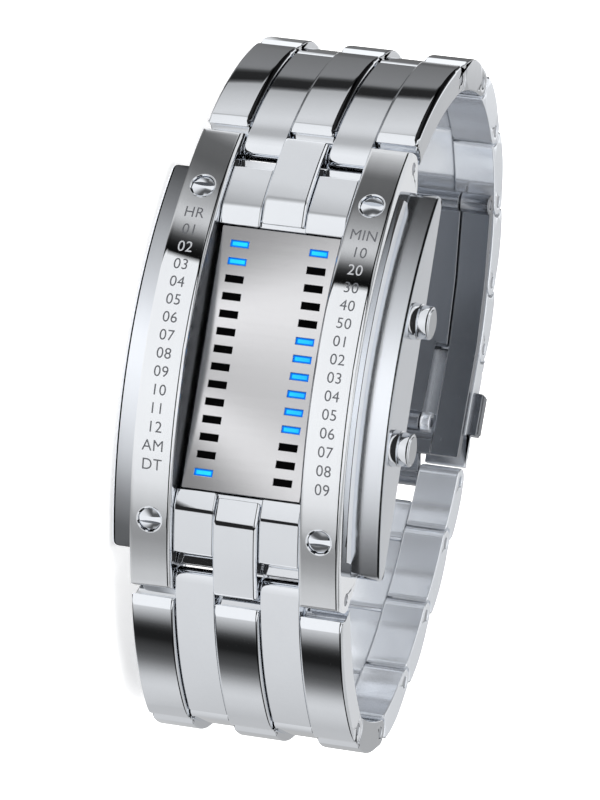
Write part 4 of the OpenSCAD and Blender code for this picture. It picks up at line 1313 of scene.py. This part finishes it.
    def bridge(self, stock: Stock, run: Run, place: Matrix) -> None:
        """Draws the short inner half of the last lower link, in front of the clasp's leaf."""
        sweep = run.sweep
        edge = PLAN.centre_edge
        left, right = PLAN.inner_columns
        columns = ((left, PLAN.inner_half, 0.0), ((-edge, edge), PLAN.column_half, self.bridge_skip),
                   (right, PLAN.inner_half, 0.0))
        for (low, high), h, skipped in columns:
            first = 90 + sweep / 2 - sweep * skipped
            length = sweep * (self.bridge_part - skipped)
            pen = stock.pen(*run.at(h, first)).arc(*run.centre, -length, self.low_corner, LINK_FACET)
            pen.line(*run.at(-h, first - length)).arc(*run.centre, length, facet=LINK_FACET)
            if not skipped:
                pen.arc(0.0, 0.0, -self.hook, facet=ROUND_FACET)
            pen.bar(across(low), across(high), self.low_rim, place=place)
        near, far = (sweep * part for part in self.bridge_web)
        self.web(stock, run, near, far, place, LINK_FACET)


@dataclass
class Clasp:
    """The folding clasp: cover, leaf, blade and two side buttons."""

    finishes: Finishes
    cover_edge: float = 0.12
    other_edge: float = 0.1

    def build(self) -> None:
        """Breaks the edges of the clasp's pieces and dresses them."""
        self.edged("clasp_cover", self.cover_edge, Slot.POLISHED, "link_steel")
        for node in ("clasp_leaf", "clasp_blade", "left_button", "right_button"):
            self.edged(node, self.other_edge, Slot.DARK_STEEL, "dark_steel")

    def edged(self, node: str, edge: float, slot: Slot, finish: str) -> None:
        """Dresses a copy of one solid with its edges broken."""
        stock = crisp_copy(node, edge)
        stock.piece(node + "_edged", node, slot, self.finishes[finish], stands_for=[node], segments=2)


@dataclass
class Inside:
    """The pieces whose solids stay as they are, and the finish of each."""

    finishes: Finishes
    dress: dict[str, tuple[str, ...]] = field(default_factory=lambda: {
        # The case body takes the near-black steel that paints shade in its gaps.
        "case_steel": ("case_body",),
        "satin_steel": ("case_back", "back_screws", "lug_pins", "clasp_hinge_pin", "clasp_spring_bar",
                        *[f"{end}_pin_{i}" for end in ("upper", "lower") for i in range(1, 7)]),
        "circuit_green": ("circuit_board",),
        "light_chip": ("light_chips",),
        "chip_black": ("controller_chip",),
        "cell_steel": ("quartz_can", "coin_cell", "cell_clip"),
        "contact_gold": ("switch_contacts",),
        "moulded_black": ("movement_frame",),
        "seal_rubber": ("back_gasket", "pusher_seals"),
        "spring_wire": ("pusher_springs", "button_spring"),
    })

    def build(self) -> None:
        """Gives every kept solid its material."""
        for finish, nodes in self.dress.items():
            for node in nodes:
                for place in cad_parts[node].material_slots:
                    place.material = self.finishes[finish]
                LOG.info("dressed %s in %s", node, finish)


@dataclass(frozen=True)
class Camera:
    """The photograph's camera, solved from the screws, the slots and the outline of the bracelet."""

    distance: float = 600.0
    turn: float = 17.0
    lift: float = 5.5
    roll: float = 9.03
    pixels_per_mm: float = 9.696
    watch_at: Pair = (259.7, 362.5)
    image: Pair = (600.0, 800.0)

    def build(self) -> None:
        """Adds the camera and makes it the scene's own."""
        turn, lift, roll = (math.radians(a) for a in (self.turn, self.lift, self.roll))
        right = Vector((math.cos(turn), 0.0, -math.sin(turn)))
        back = Vector((math.sin(turn) * math.cos(lift), -math.sin(lift), math.cos(turn) * math.cos(lift)))
        up = back.cross(right)
        right, up = (math.cos(roll) * right + math.sin(roll) * up,
                     math.cos(roll) * up - math.sin(roll) * right)
        focal = self.pixels_per_mm * self.distance
        across_px = self.image[0] / 2 - self.watch_at[0]
        down_px = self.image[1] / 2 - self.watch_at[1]
        aim = (right * across_px - up * down_px - back * focal).normalized()
        side = (right - aim * right.dot(aim)).normalized()
        above = side.cross(aim)
        axes = [Vector((-v.y, -v.z, v.x)) for v in (side, above, -aim)]
        spot = Vector((-back.y, -back.z, back.x)) * self.distance + Vector((0.0, -0.5, PLAN.middle))
        matrix = Matrix([[axes[c][r] for c in range(3)] + [spot[r] * MM] for r in range(3)] + [[0, 0, 0, 1]])
        data = bpy.data.cameras.new("photo_camera")
        data.lens = focal / self.image[1] * data.sensor_width
        data.clip_start, data.clip_end = 0.01, 20.0
        camera = linked("photo_camera", data)
        camera.matrix_world = matrix
        bpy.context.scene.camera = camera


@dataclass(frozen=True)
class Cards:
    """Pale and dark cards on the floor and overhead, painted by their angle and seen by some pieces alone.

    The fan gives a grey at each angle round the apex, where 0 points at the camera's side and 90 at
    12 o'clock. The band is the dark part of the dome, as heights that the height scale has stretched.
    """

    name: str
    pieces: tuple[str, ...]
    fan: tuple[Pair, ...]
    apex: Pair = (0.0, 17.0)
    band: Pair = (0.02, 0.38)
    band_edges: Pair = (0.015, 0.06)
    band_grey: float = 0.03
    height_scale: float = 1.1
    behind: Pair = (0.36, 0.40)

    def material(self) -> bpy.types.Material:
        """Paints the cards by their angle round the watch; the other sets shine through them."""
        material, sketch = new_material(f"{self.name}_card")
        parts = sketch.node("ShaderNodeSeparateXYZ")
        sketch.join(sketch.node("ShaderNodeTexCoord").outputs["Object"], parts.inputs[0])
        x, y = (sketch.math("SUBTRACT", at * MM, parts.outputs[axis]) for at, axis in zip(self.apex, "XY"))
        part = sketch.math("MULTIPLY_ADD", sketch.math("ARCTAN2", x, y), 1 / math.tau, 0.5)
        grey = sketch.ramp(part, [((a + 180) / 360, v) for a, v in self.fan])
        (low, high), (under, over) = self.band, self.band_edges
        height = sketch.math("MULTIPLY", parts.outputs["Z"], self.height_scale)
        band = sketch.ramp(height, [(low - under, 1.0), (low, self.band_grey), (high, self.band_grey),
                                    (high + over, 1.0)])
        turned = sketch.math("ABSOLUTE", sketch.math("SUBTRACT", part, 0.5))
        behind = sketch.ramp(turned, [(self.behind[0], 0.0), (self.behind[1], 1.0)])
        glow = sketch.feed(sketch.node("ShaderNodeEmission"), Color=grey,
                           Strength=sketch.math("MAXIMUM", band, behind))
        both = sketch.node("ShaderNodeAddShader")
        sketch.join(glow.outputs["Emission"], both.inputs[0])
        sketch.join(sketch.node("ShaderNodeBsdfTransparent").outputs["BSDF"], both.inputs[1])
        sketch.surface(both.outputs["Shader"])
        material.cycles.emission_sampling = "NONE"
        return material


CARD_SETS = (
    Cards("rail", ("left_rail", "right_rail"), (
        (-130, 0.8), (-100, 0.3), (-85, 0.3), (-72, 0.7), (-63, 0.66), (-59, 0.59), (-55, 0.43),
        (-50, 0.31), (-46, 0.38), (-43, 0.54), (-40, 0.68), (-35, 0.86), (-27, 0.96),
        (-10, 1.0), (28.7, 0.94), (29.4, 0.004), (31.5, 0.008), (33.0, 0.025), (34.5, 0.075),
        (35.6, 0.18), (36.9, 0.36), (38.3, 0.52), (39.7, 0.63), (41.5, 0.66), (43, 0.6),
        (44.5, 0.5), (48.5, 0.36), (53, 0.18), (57, 0.12), (64, 0.14), (70, 0.5), (73, 0.8))),
    Cards("wing", ("left_wing", "right_wing", "case_body"), (
        (-180, 0.6), (-100, 0.5), (-75, 0.1), (-55, 0.13), (-47, 0.27), (-42, 0.42),
        (-38, 0.56), (-33, 0.70), (-24, 0.87), (-14, 0.99), (-4, 1.08), (5, 1.08), (12, 0.98),
        (21, 0.78), (31, 0.60), (40, 0.45), (49, 0.25), (58, 0.11), (66, 0.06), (80, 0.06),
        (95, 0.5), (180, 0.6)), band=(0.5, 0.93)),
    Cards("end", ("upper_end", "lower_end", "rail_screw_seats"), (
        (-180, 0.8), (-110, 0.9), (-75, 1.0), (-68, 0.75), (-60, 0.73), (-50, 0.77),
        (-41, 0.79), (-38, 0.75), (-36, 0.02), (-19, 0.02), (-17, 0.8), (0, 0.88), (14, 0.95),
        (27, 0.95), (40, 0.45), (48, 0.44), (52, 0.6), (57, 0.75), (70, 0.76), (76, 1.0),
        (100, 1.0), (180, 0.8))),
    Cards("display", ("display_face",), (
        (-180, 0.1), (-15, 0.24), (-11, 0.28), (-8, 0.55), (-5.5, 0.95), (-3, 0.95),
        (-0.5, 0.58), (2, 0.58), (5, 0.72), (9, 1.0), (11.5, 0.96), (13, 0.66), (16, 0.40),
        (19, 0.33), (180, 0.1))),
    Cards("upper_link", ("upper_link_1",), (
        (-180, 0.56), (-150, 0.56), (-100, 0.9), (50, 0.95), (72, 0.9), (76, 0.5), (79, 0.5),
        (82.5, 0.71), (86, 0.75), (90, 0.69), (97, 0.58), (101, 0.48), (103.3, 0.45),
        (104.3, 0.02), (110.8, 0.025), (111.8, 0.2), (114, 0.24), (120, 0.22), (129, 0.19),
        (140, 0.12), (143, 1.0), (151, 1.0), (157, 0.56), (180, 0.56)),
        apex=(-19.0, 6.0), band=(0.02, 0.94)),
    Cards("lower_link", ("lower_link_1_bars",), (
        (-180, 0.6), (-112, 0.56), (-106, 0.66), (-101, 0.71), (-98, 0.65), (-96, 0.565),
        (-92.8, 0.36), (-89.4, 0.167), (-86, 0.085), (-82.4, 0.05), (-78.7, 0.015),
        (-75, 0.015), (-73, 0.04), (-71.2, 0.09), (-67.3, 0.40), (-64.5, 0.62), (-62, 0.75),
        (-58, 1.0), (-20, 1.0), (60, 0.8), (180, 0.7)),
        apex=(17.5, 10.0)),
    Cards("upper_screw", ("upper_screw",), (
        (-180, 0.2), (0, 0.5), (8, 0.9), (16, 0.15), (24, 0.1), (33, 0.11), (38, 0.35),
        (43, 0.85), (50, 0.97), (57, 0.9), (63, 0.3), (70, 0.1), (80, 0.12), (88, 0.42),
        (98, 0.62), (112, 0.95), (140, 0.7), (180, 0.2)),
        band=(0.5, 0.94)),
    Cards("lower_screw", ("lower_screw",), (
        (-180, 0.2), (-140, 0.7), (-112, 0.95), (-92, 0.6), (-82, 0.42), (-74, 0.12),
        (-64, 0.1), (-58, 0.3), (-52, 0.9), (-46, 0.97), (-40, 0.85), (-34, 0.3), (-28, 0.1),
        (-14, 0.12), (-4, 0.4), (8, 0.62), (20, 0.95), (60, 0.7), (180, 0.2)), band=(0.5, 0.94)),
    Cards("plain", (), (
        (-180, 0.44), (-150, 0.48), (-125, 0.52), (-108, 0.58), (-95, 0.66), (-85, 0.71),
        (-70, 0.75), (-50, 0.78), (0, 0.95), (30, 0.85), (70, 0.8), (84, 0.75), (87, 1.1),
        (93, 1.1), (96, 0.75), (104, 0.75), (108, 0.22), (135, 0.16), (152, 0.14), (158, 0.3),
        (161, 0.9), (166, 0.9), (170, 0.44), (180, 0.44))),
)


@dataclass(frozen=True)
class Lamp:
    """One soft square lamp that faces the watch, in metres and watts."""

    name: str
    place: Triple
    size: float
    power: float
    aim: Triple = (0.0, 0.02, 0.015)

    def build(self) -> None:
        """Hangs the lamp; steel shows the cards instead of it."""
        data = bpy.data.lights.new(self.name, "AREA")
        data.shape = "SQUARE"
        data.size = self.size
        data.energy = self.power
        lamp = linked(self.name, data)
        lamp.location = self.place
        lamp.rotation_mode = "QUATERNION"
        lamp.rotation_quaternion = (Vector(self.place) - Vector(self.aim)).to_track_quat("Z", "Y")
        lamp.visible_glossy = lamp.visible_camera = False


@dataclass
class Studio:
    """White floor and world, soft lamps, and the cards that the steel reflects, in metres."""

    white: tuple[float, ...] = (1.0, 1.0, 1.0, 1.0)
    dull_light: float = 0.55
    added_light: float = 0.45
    floor_half: float = 3.0
    floor_grey: tuple[float, ...] = (0.9, 0.9, 0.9, 1.0)
    floor_rough: float = 0.9
    floor_glow: float = 0.4
    gap: float = 0.00005
    disc_height: float = 0.0001
    disc_rise: float = 0.05
    shell_radius: float = 0.9
    shell_step: float = 0.002
    lamps: tuple[Lamp, ...] = (Lamp("lamp_front", (-0.25, -0.55, 0.55), 0.5, 7.0),
                               Lamp("lamp_right", (0.35, -0.2, 0.6), 0.5, 4.0),
                               Lamp("lamp_back", (0.0, 0.6, 0.5), 0.6, 4.0))

    def build(self) -> None:
        """Builds the stage and its light."""
        self.world()
        self.floor()
        self.backing()
        for lamp in self.lamps:
            lamp.build()

    def world(self) -> None:
        """Makes the world white for the camera, metal and glass, and even light for the rest."""
        world = bpy.data.worlds.new("studio")
        world.use_nodes = True
        bpy.context.scene.world = world
        sketch = Sketch(world.node_tree)
        light = sketch.math("MULTIPLY_ADD", sketch.direct(), self.added_light, self.dull_light)
        back = sketch.feed(sketch.node("ShaderNodeBackground"), Color=self.white, Strength=light)
        sketch.surface(back.outputs["Background"], "World")

    def floor(self) -> None:
        """Lays the pale floor under the watch; it keeps the watch's soft shadow."""
        mesh = bmesh.new()
        bmesh.ops.create_grid(mesh, x_segments=1, y_segments=1, size=self.floor_half)
        bmesh.ops.translate(mesh, vec=(0.0, 0.0, -self.gap), verts=mesh.verts)
        material, sketch = new_material("pale_floor")
        self.stage_piece("floor", mesh, material)
        shader = sketch.feed(
            sketch.node("ShaderNodeBsdfPrincipled"), Base_Color=self.floor_grey,
            Roughness=self.floor_rough, Specular_IOR_Level=0.0, Emission_Color=self.white,
            Emission_Strength=sketch.math("MULTIPLY", sketch.direct(), self.floor_glow))
        sketch.surface(shader.outputs["BSDF"])

    def stage_piece(self, name: str, mesh: bmesh.types.BMesh,
                    material: bpy.types.Material) -> bpy.types.Object:
        """Adds a stage object from a mesh."""
        made = mesh_object(name, mesh)
        made.data.materials.append(material)
        return made

    def shells(self, name: str, nearer: float, material: bpy.types.Material) -> list[bpy.types.Object]:
        """Adds a disc on the floor and a dome above it that only mirrors can see.

        Args:
            name: Start of their names.
            nearer: How much nearer than the farthest pair they lie, in metres.
            material: What both are painted with.

        Returns:
            The disc and the dome.
        """
        radius = self.shell_radius - nearer
        low, high = bmesh.new(), bmesh.new()
        bmesh.ops.create_circle(low, cap_ends=True, radius=radius, segments=64)
        bmesh.ops.translate(low, vec=(0.0, 0.0, self.disc_height + nearer * self.disc_rise),
                            verts=low.verts)
        bmesh.ops.create_uvsphere(high, u_segments=64, v_segments=32, radius=radius)
        bmesh.ops.bisect_plane(high, geom=[*high.verts, *high.edges, *high.faces],
                               plane_co=(0, 0, self.gap), plane_no=(0, 0, 1), clear_inner=True)
        made = [self.stage_piece(f"{name}_{part}", mesh, material)
                for part, mesh in (("fan", low), ("dome", high))]
        for card in made:
            card.visible_camera = card.visible_diffuse = card.visible_transmission = False
            card.visible_shadow = card.visible_volume_scatter = False
        return made

    def backing(self) -> None:
        """Sets a black shell behind all the cards."""
        material, sketch = new_material("card_backing")
        glow = sketch.feed(sketch.node("ShaderNodeEmission"), Color=(0.0, 0.0, 0.0, 1.0))
        sketch.surface(glow.outputs["Emission"])
        self.shells("backing", 0.0, material)

    def cards(self) -> None:
        """Sets up each set of cards and shows it to its own pieces alone."""
        steel = [o for o in bpy.context.scene.objects
                 if o.type == "MESH" and not o.name.startswith(("backing", "floor"))]
        for number, group in enumerate(CARD_SETS, 1):
            seen = [o for o in steel if not group.pieces or o.name.startswith(group.pieces)]
            steel = [o for o in steel if o not in seen]
            receivers = bpy.data.collections.new(f"{group.name}_sees")
            for piece in seen:
                receivers.objects.link(piece)
            for card in self.shells(f"{group.name}_card", self.shell_step * number, group.material()):
                card.light_linking.receiver_collection = receivers
            LOG.info("the %s cards are seen by %d pieces", group.name, len(seen))


def main() -> None:
    """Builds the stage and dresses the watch."""
    logging.basicConfig(level=logging.INFO, format="%(name)s: %(message)s")
    bpy.context.scene.view_settings.view_transform = "Standard"
    Camera().build()
    studio = Studio()
    studio.build()
    finishes = Finishes()
    for part in (Head(finishes), Bracelet(finishes), Clasp(finishes), Inside(finishes)):
        part.build()
        LOG.info("built %s", type(part).__name__)
    studio.cards()


if __name__ == "__main__":
    main()
